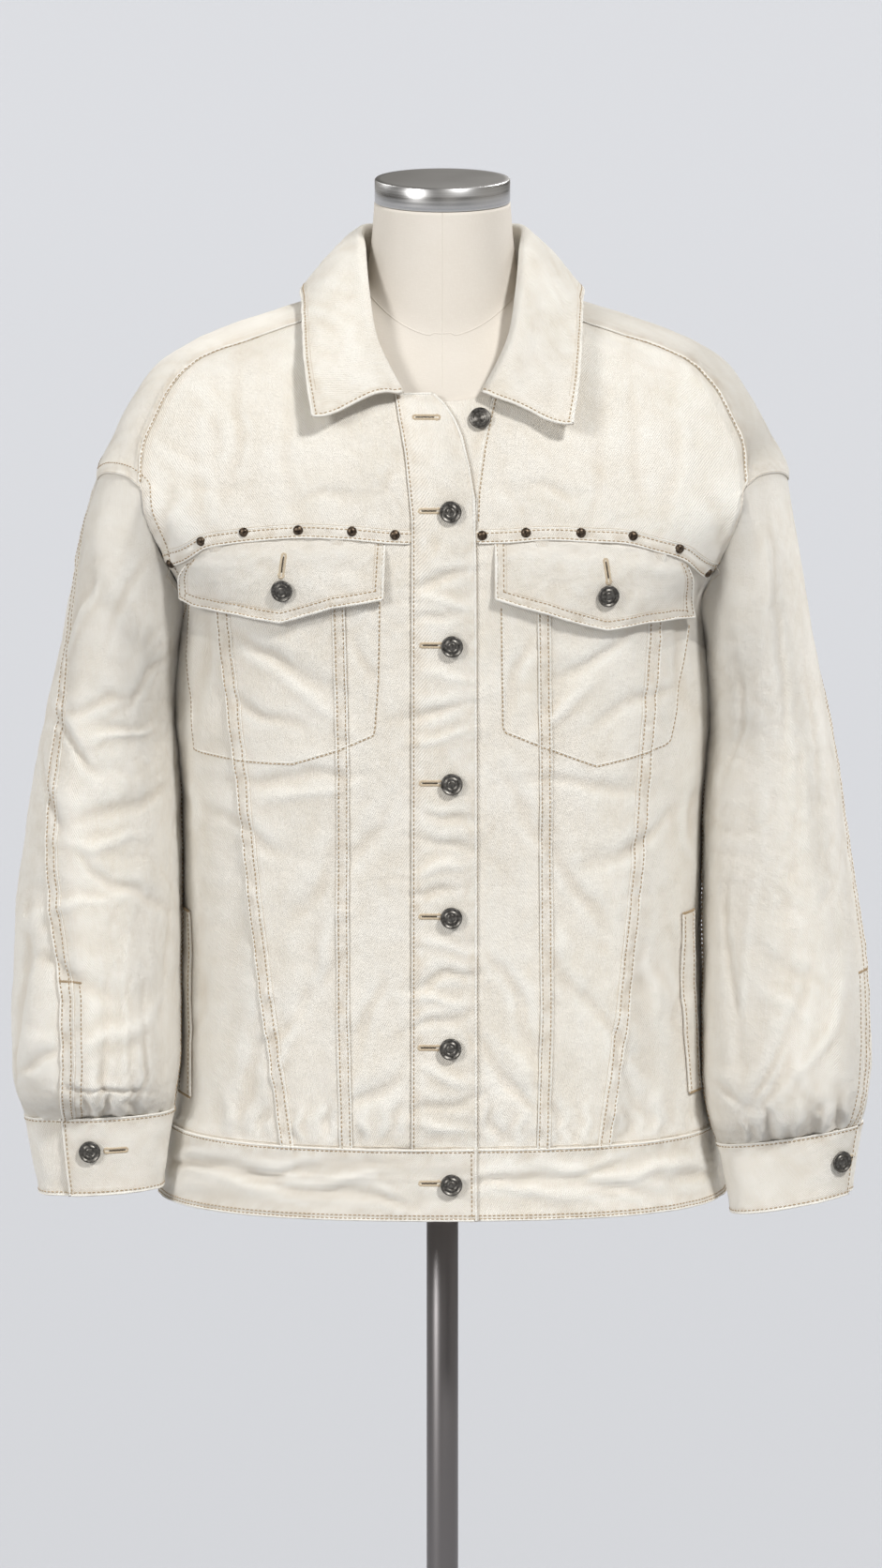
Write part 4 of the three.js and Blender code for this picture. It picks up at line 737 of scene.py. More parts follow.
def shifted(at, path, distance):
    """A path of spots moved sideways in the surface by a distance; above 0 is to the left of its run."""
    u, v = path[:, 0], path[:, 1]
    step_u, step_v = 0.05, 0.005
    p = at(u, v, 0)
    pu = (at(u + step_u, v, 0) - at(u - step_u, v, 0)) / (2 * step_u)
    pv = (at(u, v + step_v, 0) - at(u, v - step_v, 0)) / (2 * step_v)
    run = np.gradient(p, axis=0)
    kernel = np.ones(5) / 5
    if len(run) > 12:
        run = np.stack([np.convolve(np.pad(run[:, k], 2, mode="edge"), kernel, "valid") for k in range(3)], -1)
    side = unit(np.cross(unit(np.cross(pu, pv)), unit(run))) * distance
    uu, uv, vv = (pu * pu).sum(-1), (pu * pv).sum(-1), (pv * pv).sum(-1)
    su, sv = (side * pu).sum(-1), (side * pv).sum(-1)
    det = np.maximum(uu * vv - uv * uv, 1e-9)
    return np.stack([u + (su * vv - sv * uv) / det, v + (sv * uu - su * uv) / det], -1)


def even_path(at, path, spacing):
    p = at(path[:, 0], path[:, 1], 0)
    run = lengths(p[None], 1)[0]
    count = max(2, int(run[-1] / spacing) + 1)
    want = np.linspace(0, run[-1], count)
    return np.stack([np.interp(want, run, path[:, 0]), np.interp(want, run, path[:, 1])], -1)


class Threads:
    """Stitches gathered for one joined mesh, each laid on the cloth beneath it."""

    def __init__(self, name):
        self.name = name
        self.points = []
        self.faces = []
        self.tints = []
        self.count = 0

    def row(self, at, path, on, pitch=3.6, length=2.7, radius=0.36, across=False, dark=0.0):
        """Stitches along a path of spots, on the named pieces of cloth; dark turns them near black, as painted
        shade in a buttonhole slot.
        """
        fine = even_path(at, path, pitch)
        if len(fine) < 3:
            return
        p = at(fine[:, 0], fine[:, 1], 0)
        normal = unit(at(fine[:, 0], fine[:, 1], 1) - p)
        self.line(p, normal, on, length, radius, across, dark)

    def line(self, p, normal, on, length=2.7, radius=0.36, across=False, dark=0.0):
        run = unit(np.gradient(p, axis=0))
        seated, kept = laid(p, normal, on)
        p, normal, run = seated[kept], normal[kept], run[kept]
        if not len(p):
            return
        side = unit(np.cross(normal, run))
        if across:
            run, side = side, -run
        k = np.arange(len(p))
        run = unit(run + side * (0.12 * np.sin(k * 2.7) + 0.08 * np.sin(k * 1.3 + 1))[:, None])
        side = unit(np.cross(normal, run))
        half = length / 2 * (1 + 0.12 * np.sin(k * 1.9))
        centres = p + normal * 0.12
        rings = []
        for share, size, sink in ((-1, 0.45, 0.4), (-0.55, 1, 0), (0.55, 1, 0), (1, 0.45, 0.4)):
            middle = centres + run * (half * share)[:, None] - normal * sink
            for angle in (-90, -18, 54, 126, 198):
                a = math.radians(angle)
                rings.append(middle + (side * math.cos(a) + normal * math.sin(a)) * (radius * size))
        block = np.stack(rings, 1)
        faces = []
        for ring in (0, 5, 10):
            faces += [[ring + c, ring + (c + 1) % 5, ring + 5 + (c + 1) % 5, ring + 5 + c] for c in range(5)]
        start = self.count + np.arange(len(p))[:, None, None] * 20
        self.points.append(block.reshape(-1, 3))
        self.faces.append((np.array(faces)[None] + start).reshape(-1, 4))
        self.tints.append(np.full(len(p) * 20, dark))
        self.count += len(p) * 20

    def fold(self, at, path, on, radius=0.75, tint=(0.9, 0.0, 0.0), sink=0.25):
        """A rolled edge of cloth, or a thin tube of painted shadow beside one, along a path of spots."""
        fine = even_path(at, np.asarray(path, float), 2.8)
        if len(fine) < 4:
            return
        p = at(fine[:, 0], fine[:, 1], 0)
        normal = unit(at(fine[:, 0], fine[:, 1], 1) - p)
        p, kept = laid(p, normal, on)
        side = unit(np.cross(normal, unit(np.gradient(p, axis=0))))
        k = np.arange(len(p))
        size = radius * (1 + 0.28 * noise(k / 3.1, radius * 7 + p[0, 0], 55)
                         + 0.15 * noise(k / 1.3, p[0, 2], 56))
        ring = []
        for angle in (-60, 0, 45, 90, 135, 180, 240):
            a = math.radians(angle)
            ring.append(p + (side * math.cos(a) + normal * (math.sin(a) - sink)) * size[:, None])
        block = np.stack(ring, 1)
        run = np.nonzero(kept[:-1] & kept[1:])[0][:, None, None] * 7
        turn = np.arange(7)
        cell = np.stack([turn, (turn + 1) % 7, 7 + (turn + 1) % 7, 7 + turn], -1)[None]
        self.points.append(block.reshape(-1, 3))
        self.faces.append((cell + run + self.count).reshape(-1, 4))
        self.tints.append(np.tile(tint, (len(p) * 7, 1)))
        self.count += len(p) * 7

    def build(self):
        points, faces = np.concatenate(self.points), np.concatenate(self.faces)
        used = np.unique(faces)
        index = np.zeros(len(points), int)
        index[used] = np.arange(len(used))
        points, faces = points[used], index[faces]
        tint = np.concatenate(self.tints)[used]
        # Stitches: a random share of faded thread, and the dark channel as painted shade in buttonhole slots
        if tint.ndim == 1:
            fade = 0.5 + 0.5 * noise(points[:, 0] / 25 + points[:, 1] / 30, points[:, 2] / 25, 51)
            tint = np.stack([fade, 1 - fade, tint], -1)
        return mesh_object(self.name, points, faces, uv=points[:, [0, 2]], tint=tint)


def tree_of(name, made={}):
    """Search tree of a built piece, in millimetres."""
    if name not in made:
        mesh = bpy.data.objects[f"{name}_cloth"].data
        co = np.empty(len(mesh.vertices) * 3, np.float32)
        mesh.vertices.foreach_get("co", co)
        corners = np.empty(len(mesh.loops), np.int32)
        mesh.loops.foreach_get("vertex_index", corners)
        starts = np.empty(len(mesh.polygons), np.int32)
        mesh.polygons.foreach_get("loop_start", starts)
        ends = np.append(starts[1:], len(corners))
        faces = [corners[a:b].tolist() for a, b in zip(starts, ends)]
        made[name] = BVHTree.FromPolygons((co.reshape(-1, 3) / MM).tolist(), faces)
    return made[name]


def laid(p, normal, on, reach=7.0):
    """Points dropped onto the topmost of the named pieces; kept is false where there is none."""
    seated, kept = p.copy(), np.zeros(len(p), bool)
    best = np.full(len(p), 2 * reach)
    for name in on:
        tree = tree_of(name)
        for i in range(len(p)):
            start = Vector(p[i] + normal[i] * reach)
            hit, _, _, distance = tree.ray_cast(start, Vector(-normal[i]), 2 * reach)
            if hit is not None and distance < best[i]:
                best[i], kept[i], seated[i] = distance, True, hit
    return seated, kept


# Sleeves, cuffs, collar and flaps as surfaces
def sleeve_rings(side, turn):
    """The twelve ring points of a sleeve at each turn, from the armhole down."""
    sign = -1 if side == "L" else 1
    degrees, level = armhole_spot(side, turn)
    rows = [body_base(degrees, level)]
    t = np.radians(turn)
    c, s = np.cos(t), np.sin(t)
    r = (np.abs(c) ** SLEEVE_SQUARE + np.abs(s) ** SLEEVE_SQUARE) ** (-1 / SLEEVE_SQUARE)
    for out_x, out_z, in_x, in_z, middle_y, half in SLEEVE_RINGS[side]:
        x = (out_x + in_x) / 2 + (out_x - in_x) / 2 * r * c
        z = (out_z + in_z) / 2 + (out_z - in_z) / 2 * r * c
        rows.append(np.stack([sign * x, middle_y - half * r * s, z], -1))
    return np.stack(rows)


def sleeve_base(side, turn, level):
    turn, level = np.broadcast_arrays(np.asarray(turn, float), np.asarray(level, float))
    shape = turn.shape
    turn, level = turn.ravel(), np.clip(level.ravel(), 0, SLEEVE_LAST)
    rings = sleeve_rings(side, turn)
    last = len(rings) - 1
    i = np.minimum(level.astype(int), last - 1)
    f = (level - i)[:, None]
    n = np.arange(len(turn))
    p0, p1 = rings[np.maximum(i - 1, 0), n], rings[i, n]
    p2, p3 = rings[i + 1, n], rings[np.minimum(i + 2, last), n]
    m1, m2 = (p2 - p0) / 2, (p3 - p1) / 2
    p = ((2 * f ** 3 - 3 * f * f + 1) * p1 + (f ** 3 - 2 * f * f + f) * m1
         + (3 * f * f - 2 * f ** 3) * p2 + (f ** 3 - f * f) * m2)
    return p.reshape(shape + (3,))


def sleeve_relief(side, turn, level, p):
    total = np.zeros(turn.shape)
    for middle, at, half_turn, half_level, size, slope in SLEEVE_FOLDS[side]:
        away = apart(turn, middle)
        total = total - size * hump(away, half_turn) * hump(level - slope * away - at, half_level * 1.6)
    seat = ease(8.6, 10.4, level) * (1 - 0.4 * ease(10.6, 11, level))
    for middle, half, size in PLEATS[side]:
        total = total - size * hump(apart(turn, middle), half) * seat
    total = total * (1 - hump(apart(turn, 180), 60) * ease(4, 5, level))
    down = 46 * level
    front, back = apart(turn, 90), apart(turn, 270)
    calm = 1 - 0.75 * hump(apart(turn, 180), 55)
    creases = crease_field(SLEEVE_CREASES[side], 1.26 * front, -down)
    total = total + 0.85 * calm * ease(150, 110, np.abs(front)) * creases
    total = total + calm * ease(100, 70, np.abs(back)) * crease_field(SLEEVE_BACK_CREASES, 1.26 * back, -down)
    total = total + hump(apart(turn, 180), 50) * np.interp(level, SLEEVE_BULGE[:, 0], SLEEVE_BULGE[:, 1])
    x, y, z = p[..., 0], p[..., 1], p[..., 2]
    total = total + 0.7 * layered(x / 40 + y / 44, z / 46, 61.0, 3)
    total = total + 0.6 * crinkle(x / 24 + y / 28, z / 27, 63.0) * ease(
        -0.5, 0.4, noise(x / 60 + y / 70, z / 80, 64))
    total = total + 0.34 * crinkle(x / 12 + y / 14, z / 14, 69.0)
    around = 1.26 * np.abs(apart(turn, 180))
    ripple = noise(around / 8.5, level * 2, 65.0) + 0.5 * noise(around / 4.8, level * 3, 66.0)
    total = total + 1.0 * ease(10.2, 10.95, level) * ripple
    upright = noise(z / 9.5, y / 15, 67.0) + 0.5 * noise(z / 5.5, y / 11, 68.0)
    seam = apart(turn, sleeve_seam(side, level)) * 1.26
    return total + 0.4 * np.exp(-(seam / 8) ** 2) * upright


def sleeve_seam(side, level):
    return np.interp(level, SLEEVE_SEAM[:, 0], SLEEVE_SEAM[:, 1 if side == "L" else 2])


def surface_normal(base, u, v, du, dv, v_last):
    across = base(u + du, v) - base(u - du, v)
    up = base(u, np.minimum(v + dv, v_last)) - base(u, np.maximum(v - dv, 0))
    return unit(np.cross(across, up))


def sleeve_at(side):
    def at(turn, level, out=0.0):
        turn, level = np.broadcast_arrays(np.asarray(turn, float), np.asarray(level, float))
        base = lambda a, b: sleeve_base(side, a, b)
        p = base(turn, level)
        normal = surface_normal(base, turn, level, 1.0, 0.02, SLEEVE_LAST)
        middle = (base(np.zeros_like(turn), level) + base(np.full_like(turn, 180.0), level)) / 2
        normal = normal * np.where(((p - middle) * normal).sum(-1) < 0, -1, 1)[..., None]
        degrees, body_level = armhole_spot(side, turn)
        body_out = body_relief(degrees, body_base(degrees, body_level))
        share = ease(0, 0.9, level)
        rise = sleeve_relief(side, turn, level, p) * share + body_out * (1 - share)
        return p + normal * (out + rise)[..., None]
    return at


def cuff_base(side, turn, share):
    sign = -1 if side == "L" else 1
    rows = blend_rows(CUFF_RINGS[side], 2 * np.clip(share, 0, 1))
    out_x, out_z, in_x, in_z, middle_y, half = np.moveaxis(rows, -1, 0)
    t = np.radians(turn)
    c, s = np.cos(t), np.sin(t)
    r = (np.abs(c) ** SLEEVE_SQUARE + np.abs(s) ** SLEEVE_SQUARE) ** (-1 / SLEEVE_SQUARE)
    x = (out_x + in_x) / 2 + (out_x - in_x) / 2 * r * c
    z = (out_z + in_z) / 2 + (out_z - in_z) / 2 * r * c
    return np.stack([sign * x, middle_y - half * r * s, z], -1)


def cuff_at(side):
    over = CUFF_OVER[side]
    base = partial(cuff_base, side)

    def at(turn, share, out=0.0):
        turn, share = np.broadcast_arrays(np.asarray(turn, float), np.asarray(share, float))
        p = base(turn, share)
        normal = surface_normal(base, turn, share, 1.0, 0.05, 1.0)
        middle = (base(np.zeros_like(turn), share) + base(np.full_like(turn, 180.0), share)) / 2
        normal = normal * np.where(((p - middle) * normal).sum(-1) < 0, -1, 1)[..., None]
        under = ease(over - 30, over - 8, turn) * 2.3
        arc = p[..., 0] * 1.3 + p[..., 1]
        ripple = noise(arc / 9, p[..., 2] / 12, 71.0) + 0.5 * noise(arc / 5, p[..., 2] / 9, 72.0)
        edge = np.exp(-(np.minimum(share, 1 - share) / 0.16) ** 2)
        soft = 0.5 * layered(arc / 30, p[..., 2] / 16, 73.0, 2)
        return p + normal * (out - under + 0.4 * edge * ripple + soft)[..., None]
    return at


def collar_base(station, cross):
    station, cross = np.broadcast_arrays(np.asarray(station, float), np.asarray(cross, float))
    signs = np.array([-1, 1, 1] * 3)
    rows = np.concatenate([(COLLAR[1] * signs)[None], COLLAR])
    row = blend_rows(rows, np.abs(station) + 1)
    mirror = np.where(station < 0, -1, 1)[..., None] * np.array([1, 0, 0]) + np.array([0, 1, 1])
    neck, roll, edge = row[..., 0:3] * mirror, row[..., 3:6] * mirror, row[..., 6:9] * mirror
    away = (edge - neck) * np.array([1, 1, 0])
    away = unit(away)
    tall = np.minimum(np.linalg.norm(roll - neck, axis=-1) / 40, 1)[..., None]
    rise = np.array([0, 0, 1.0])
    stand = neck + (roll - neck) * 0.5 - away * tall
    before = roll + (neck - roll) * 0.08 - away * (COLLAR_FOLD * 0.6 * tall)
    after = roll + away * COLLAR_FOLD
    after = after + (edge - after) * 0.05
    high = roll + (edge - roll) * 0.38 + away * 3 + rise * 2.2
    low = roll + (edge - roll) * 0.72 + away * 2.4 + rise * 1.4
    points = np.stack([neck, stand, before, roll, after, high, low, edge])
    shape = station.shape
    flat = points.reshape(8, -1, 3)
    v = np.clip(cross.ravel(), 0, 7)
    i = np.minimum(v.astype(int), 6)
    f = (v - i)[:, None]
    n = np.arange(len(v))
    p0, p1 = flat[np.maximum(i - 1, 0), n], flat[i, n]
    p2, p3 = flat[i + 1, n], flat[np.minimum(i + 2, 7), n]
    m1, m2 = (p2 - p0) / 2, (p3 - p1) / 2
    p = ((2 * f ** 3 - 3 * f * f + 1) * p1 + (f ** 3 - 2 * f * f + f) * m1
         + (3 * f * f - 2 * f ** 3) * p2 + (f ** 3 - f * f) * m2)
    return p.reshape(shape + (3,))


def collar_at(station, cross, out=0.0):
    station, cross = np.broadcast_arrays(np.asarray(station, float), np.asarray(cross, float))
    p = collar_base(station, cross)
    across = (collar_base(np.minimum(station + 0.02, 6), cross)
              - collar_base(np.maximum(station - 0.02, -6), cross))
    up = collar_base(station, np.minimum(cross + 0.03, 7)) - collar_base(station, np.maximum(cross - 0.03, 0))
    normal = unit(np.cross(across, up))
    x, y, z = p[..., 0], p[..., 1], p[..., 2]
    leaf = ease(3.6, 4.6, cross)
    wave = ease(4.8, 6, np.abs(station)) * 3.2 * np.sin(1.9 * (cross - 3.5))
    p[..., 2] += leaf * (wave - 6.5 * ease(3.6, 6, station))
    p[..., 1] -= leaf * 2.5 * ease(5.2, 6, np.abs(station)) * np.sin(1.9 * (cross - 3.9)) ** 2
    soft = leaf * (0.7 * layered(x / 34 + y / 40, z / 36, 81.0, 3)
                   + 0.7 * crinkle(x / 20 + y / 26, z / 24, 82.0) + 0.25 * crinkle(x / 10, z / 11, 85.0))
    near = np.exp(-((7 - cross) / 0.35) ** 2) + np.exp(-((6 - np.abs(station)) / 0.22) ** 2) * leaf
    ripple = noise((x + 1.3 * y) / 8, z / 9, 83.0) + 0.5 * noise((x + 1.3 * y) / 4.5, z / 6, 84.0)
    return p + normal * (out + soft + 0.35 * near * ripple)[..., None]


def flap_lie(side):
    """Degrees and level of the body under each share across and up a flap."""
    rows = FLAPS[side]
    top = np.stack(front_spot(rows[:, 1], rows[:, 2]), -1)
    low = np.stack(front_spot(rows[:, 3], rows[:, 4]), -1)

    def lie(s, t):
        cs = np.clip(s, 0, 1)
        upper = np.stack([np.interp(cs, rows[:, 0], top[:, k]) for k in (0, 1)], -1)
        lower = np.stack([np.interp(cs, rows[:, 0], low[:, k]) for k in (0, 1)], -1)
        return lower + (upper - lower) * np.clip(t, 0, 1)[..., None]
    return lie


def flap_base(side):
    lie = flap_lie(side)

    def base(s, t):
        spot = lie(*np.broadcast_arrays(s, t))
        return body_base(spot[..., 0], spot[..., 1])
    return base


def flap_at(side):
    lie = flap_lie(side)
    lift_most = FLAP_LIFT[side]

    def at(s, t, out=0.0):
        s, t = np.broadcast_arrays(np.asarray(s, float), np.asarray(t, float))
        cs = np.clip(s, 0, 1)
        spot = lie(s, t)
        away = 1 - np.clip(t, 0, 1)
        p = body_at(spot[..., 0], spot[..., 1], out + 0.5 + 2.7 * ease(0, 0.25, away))
        x, z = p[..., 0], p[..., 2]
        lift = lift_most * (1 - cs) ** 6 * away ** 1.5 + 3.2 * away ** 1.6
        rim = np.minimum(np.minimum(cs, 1 - cs) * 160, np.clip(t, 0, 1) * 50)
        ripple = noise(x / 8, z / 9, 91.0) + 0.5 * noise(x / 4.5, z / 6, 92.0)
        lift = lift + 0.55 * np.exp(-(rim / 8) ** 2) * ripple + 0.6 * layered(x / 26, z / 22, 93.0, 2)
        lift = lift + 0.4 * crinkle(x / 16, z / 13, 94.0)
        curl = CORNER_CURL[side] * np.exp(-(((cs - 0.02) / 0.06) ** 2) - (t / 0.3) ** 2)
        p[..., 1] -= lift + curl
        p[..., 2] += 0.5 * curl
        return p
    return at


def flap_spot(side, x, z):
    """Shares across and up the flap of the point that hangs at x, z."""
    s, t = np.meshgrid(np.linspace(0.02, 0.98, 97), np.linspace(0.02, 0.98, 49))
    p = flap_at(side)(s, t)
    best = np.hypot(p[..., 0] - x, p[..., 2] - z).argmin()
    return float(s.flat[best]), float(t.flat[best])


def welt_spots(side):
    """Degrees and level of the long edges of a side pocket welt."""
    rows = WELTS[side]
    columns = []
    for k in (1, 2):
        degrees = front_degrees(side, rows[:, k])
        levels = np.linspace(1.5, 4, 400)
        heights = body_base(degrees[:, None], levels[None])[..., 2]
        level = [float(np.interp(z, h, levels)) for z, h in zip(rows[:, 0], heights)]
        columns.append(np.stack([degrees, level], -1))
    return columns


# Finishes
class Finish:
    """A material and the nodes that feed its shader."""

    def __init__(self, name, roughness=0.8, metallic=0.0, colour=(0.8, 0.8, 0.8)):
        self.material = bpy.data.materials.new(name)
        self.material.use_nodes = True
        self.tree = self.material.node_tree
        self.shader = self.tree.nodes["Principled BSDF"]
        self.set(self.shader, Roughness=roughness, Metallic=metallic)
        self.shader.inputs["Base Color"].default_value = (*colour, 1)

    def set(self, node, **values):
        for key, value in values.items():
            socket = node.inputs[int(key[1:]) if key[0] == "_" else key.replace("_", " ")]
            if hasattr(value, "is_output"):
                self.tree.links.new(value, socket)
            elif isinstance(value, tuple) and len(value) == 3 and len(socket.default_value) == 4:
                socket.default_value = (*value, 1)
            else:
                socket.default_value = value
        return node

    def node(self, kind, **values):
        return self.set(self.tree.nodes.new("ShaderNode" + kind), **values)

    def math(self, operation, a, b=0.5):
        made = self.node("Math", _0=a, _1=b)
        made.operation = operation
        return made.outputs[0]

    def noise(self, vector, scale, detail=2.0):
        return self.node("TexNoise", Vector=vector, Scale=scale, Detail=detail).outputs[0]

    def mapped(self, vector, scale, turn=0.0):
        return self.node("Mapping", Vector=vector, Scale=scale, Rotation=(0.0, 0.0, turn)).outputs[0]

    def span(self, value, low, high, to_low=0.0, to_high=1.0):
        return self.node("MapRange", _0=value, _1=low, _2=high, _3=to_low, _4=to_high).outputs[0]

    def mix(self, share, a, b):
        made = self.tree.nodes.new("ShaderNodeMix")
        made.data_type = "RGBA"
        self.set(made, _0=share, _6=a, _7=b)
        return made.outputs[2]

    def place(self):
        return self.node("TexCoord").outputs["Object"]

    def cloth_map(self):
        made = self.tree.nodes.new("ShaderNodeUVMap")
        made.uv_map = "cloth"
        return made.outputs[0]

    def tones(self):
        # Channels: rubbed pale with a painted highlight; painted shade on cloth, faded thread on stitches;
        # painted shade in buttonhole slots
        made = self.tree.nodes.new("ShaderNodeAttribute")
        made.attribute_name = "finish"
        parts = self.node("SeparateColor", _0=made.outputs["Color"])
        return parts.outputs[0], parts.outputs[1], parts.outputs[2]

    def colour(self, value):
        self.set(self.shader, Base_Color=value)

    def bump(self, height, distance, strength=1.0):
        made = self.node("Bump", Height=height, Distance=distance, Strength=strength)
        self.set(self.shader, Normal=made.outputs[0])


def denim_finish(settings):
    made = Finish("ecru_denim", roughness=0.93)
    wear_and_highlight, painted_tan_shade, _ = made.tones()
    cloth, place = made.cloth_map(), made.place()
    slant = made.mapped(cloth, (1.0, 1.0, 1.0), math.radians(settings.twill_lean))
    shake = made.noise(cloth, 420.0, 2.0)
    line = made.math("SINE", made.math("ADD", made.math(
        "MULTIPLY", made.node("SeparateXYZ", _0=slant).outputs[0], 2 * math.pi / (settings.twill_pitch * MM)),
        made.math("MULTIPLY", shake, 3.2)))
    fuzz = made.noise(place, 1700.0, 2.0)
    slub = made.noise(made.mapped(cloth, (900.0, 60.0, 1.0)), 1.0, 2.0)
    patch = made.noise(place, 26.0, 4.0)
    blotch = made.noise(place, 85.0, 3.0)
    base = made.mix(made.span(patch, 0.35, 0.65), settings.denim_shade[:], settings.denim_colour[:])
    base = made.mix(made.math("MULTIPLY", made.span(slub, 0.45, 0.75), 0.28), base, settings.denim_light[:])
    base = made.mix(made.math("MULTIPLY", made.span(line, -1.0, 1.0), 0.16), base, settings.denim_light[:])
    # Tan painted shade in hollows, pucker troughs, beside raised edges and round the rims
    painted_shade_share = made.math("MULTIPLY", painted_tan_shade, made.span(blotch, 0.3, 0.7, 0.35, 0.85))
    base = made.mix(painted_shade_share, base, settings.denim_painted_shade[:])
    # Pale where rubbed, together with a painted highlight on ridges and rolled edges
    wear_and_highlight_share = made.math("MULTIPLY", wear_and_highlight, made.span(blotch, 0.3, 0.65, 0.85, 0.55))
    base = made.mix(wear_and_highlight_share, base, settings.denim_wear_and_highlight[:])
    made.colour(base)
    height = made.math("ADD", made.math("MULTIPLY", line, 0.4), made.math("MULTIPLY", fuzz, 1.3))
    height = made.math("ADD", height, made.math("MULTIPLY", blotch, 2.4))
    height = made.math("ADD", height, made.math("MULTIPLY", made.noise(place, 240.0, 3.0), 1.6))
    made.bump(height, 0.00046, 0.9)
    made.set(made.shader, Sheen_Weight=0.18, Sheen_Roughness=0.5, Specular_IOR_Level=0.18)
    return made.material


def thread_finish(settings, name="tan_thread", colour=None):
    made = Finish(name, roughness=0.75)
    _, faded, dark = made.tones()
    colour = colour or settings.thread_colour[:]
    base = made.mix(made.math("MULTIPLY", faded, 0.55), colour, settings.thread_faded[:])
    # Near black where the third channel is set: painted shade in buttonhole slots
    base = made.mix(dark, base, (0.06, 0.045, 0.03))
    made.colour(base)
    made.bump(made.noise(made.place(), 2600.0, 2.0), 0.0002, 0.5)
    made.set(made.shader, Specular_IOR_Level=0.3)
    return made.material


def metal_finish(name, colour, dark, roughness):
    made = Finish(name, roughness=roughness, metallic=0.92)
    spots = made.noise(made.place(), 520.0, 3.0)
    made.colour(made.mix(made.span(spots, 0.38, 0.66), dark, colour))
    made.set(made.shader, Roughness=made.span(spots, 0.3, 0.7, roughness - 0.08, roughness + 0.14))
    made.bump(made.noise(made.place(), 1500.0, 2.0), 0.00008, 0.5)
    return made.material


def brushed_finish(name, colour, dark, roughness, round_scale):
    """Steel with brush marks that run round its axis, or along it where the scale is large."""
    made = Finish(name, roughness=roughness, metallic=1.0)
    marks = made.noise(made.mapped(made.place(), round_scale), 1.0, 3.0)
    made.colour(made.mix(made.span(marks, 0.35, 0.65), dark, colour))
    made.set(made.shader, Roughness=made.span(marks, 0.3, 0.7, roughness - 0.06, roughness + 0.12))
    made.bump(marks, 0.0001, 0.35)
    return made.material


def canvas_finish(settings):
    made = Finish("beige_canvas", roughness=0.95)
    weave_x = made.noise(made.mapped(made.place(), (1500.0, 1500.0, 240.0)), 1.0, 1.0)
    weave_z = made.noise(made.mapped(made.place(), (240.0, 240.0, 1500.0)), 1.0, 1.0)
    weave = made.math("MAXIMUM", weave_x, weave_z)
    patch = made.noise(made.place(), 14.0, 3.0)
    base = made.mix(made.span(patch, 0.3, 0.7), settings.canvas_shade[:], settings.canvas_colour[:])
    made.colour(made.mix(made.span(weave, 0.5, 0.8, 0.0, 0.35), base, (0.75, 0.71, 0.64)))
    made.bump(weave, 0.00015, 0.6)
    made.set(made.shader, Sheen_Weight=0.1, Specular_IOR_Level=0.2)
    return made.material


def floor_finish():
    made = Finish("pale_floor", roughness=0.9)
    depth = made.node("SeparateXYZ", _0=made.place()).outputs[1]
    grain = made.math("MULTIPLY", made.noise(made.place(), 0.6, 2.0), 0.03)
    # Painted light falloff: the floor is coloured darker nearer the jacket and paler far behind it
    ground = made.mix(made.span(depth, 1.5, 9.5), (0.480, 0.492, 0.520), (0.525, 0.538, 0.57))
    made.colour(made.mix(grain, ground, (0.6, 0.6, 0.6)))
    made.set(made.shader, Specular_IOR_Level=0.1)
    return made.material


def finish_named(name):
    if name in bpy.data.materials:
        return bpy.data.materials[name]
    settings = bpy.context.scene.jacket_finish
    makers = {
        "ecru_denim": lambda: denim_finish(settings),
        "tan_thread": lambda: thread_finish(settings),
        "beige_canvas": lambda: canvas_finish(settings),
        "antique_pewter": lambda: metal_finish(
            "antique_pewter", (0.175, 0.165, 0.15), (0.075, 0.07, 0.063), 0.34),
        "dark_bronze": lambda: metal_finish("dark_bronze", (0.15, 0.11, 0.075), (0.035, 0.026, 0.02), 0.34),
        "buttonhole_thread_and_painted_slot_shade": lambda: thread_finish(settings, "buttonhole_thread_and_painted_slot_shade", (0.62, 0.52, 0.38)),
        "brushed_steel": lambda: brushed_finish(
            "brushed_steel", (0.62, 0.615, 0.61), (0.5, 0.495, 0.49), 0.3, (7.0, 7.0, 520.0)),
        "dark_steel": lambda: brushed_finish(
            "dark_steel", (0.095, 0.093, 0.093), (0.055, 0.053, 0.053), 0.22, (500.0, 500.0, 6.0)),
        "pale_floor": floor_finish,
    }
    return makers[name]()


def finished(made, finish, replaces=()):
    made.data.materials.append(finish_named(finish))
    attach(made, BODY_NODE)
    if replaces:
        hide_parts(*replaces)
    return made


def laid_flat(plain, spots, origin):
    """Width, length and area of a cut piece, from the plain surface that it lies on.

    The plain surface comes from the tables of rings and seams. It has no creases, folds, puckers or
    turned-in edges, and the cloth that is drawn plays no part in the sizes.
    """
    rows, columns = (np.linspace(0, n - 1, min(n, 40)).round().astype(int) for n in spots.shape[:2])
    net = spots[rows][:, columns]
    u, v = net[..., 0], net[..., 1]
    from_u, from_v = origin
    t = np.linspace(0, 1, 61)
    across = plain(from_u + (u - from_u)[..., None] * t, v[..., None] + 0 * t)
    up = plain(u[..., None] + 0 * t, from_v + (v - from_v)[..., None] * t)
    run_across, run_up = (np.linalg.norm(np.diff(line, axis=-2), axis=-1).sum(-1) for line in (across, up))
    width, length = np.ptp(np.sign(u - from_u) * run_across), np.ptp(np.sign(v - from_v) * run_up)
    p = plain(u, v)
    cells = np.cross(p[1:, 1:] - p[:-1, :-1], p[1:, :-1] - p[:-1, 1:])
    return width, length, np.linalg.norm(cells, axis=-1).sum() / 2


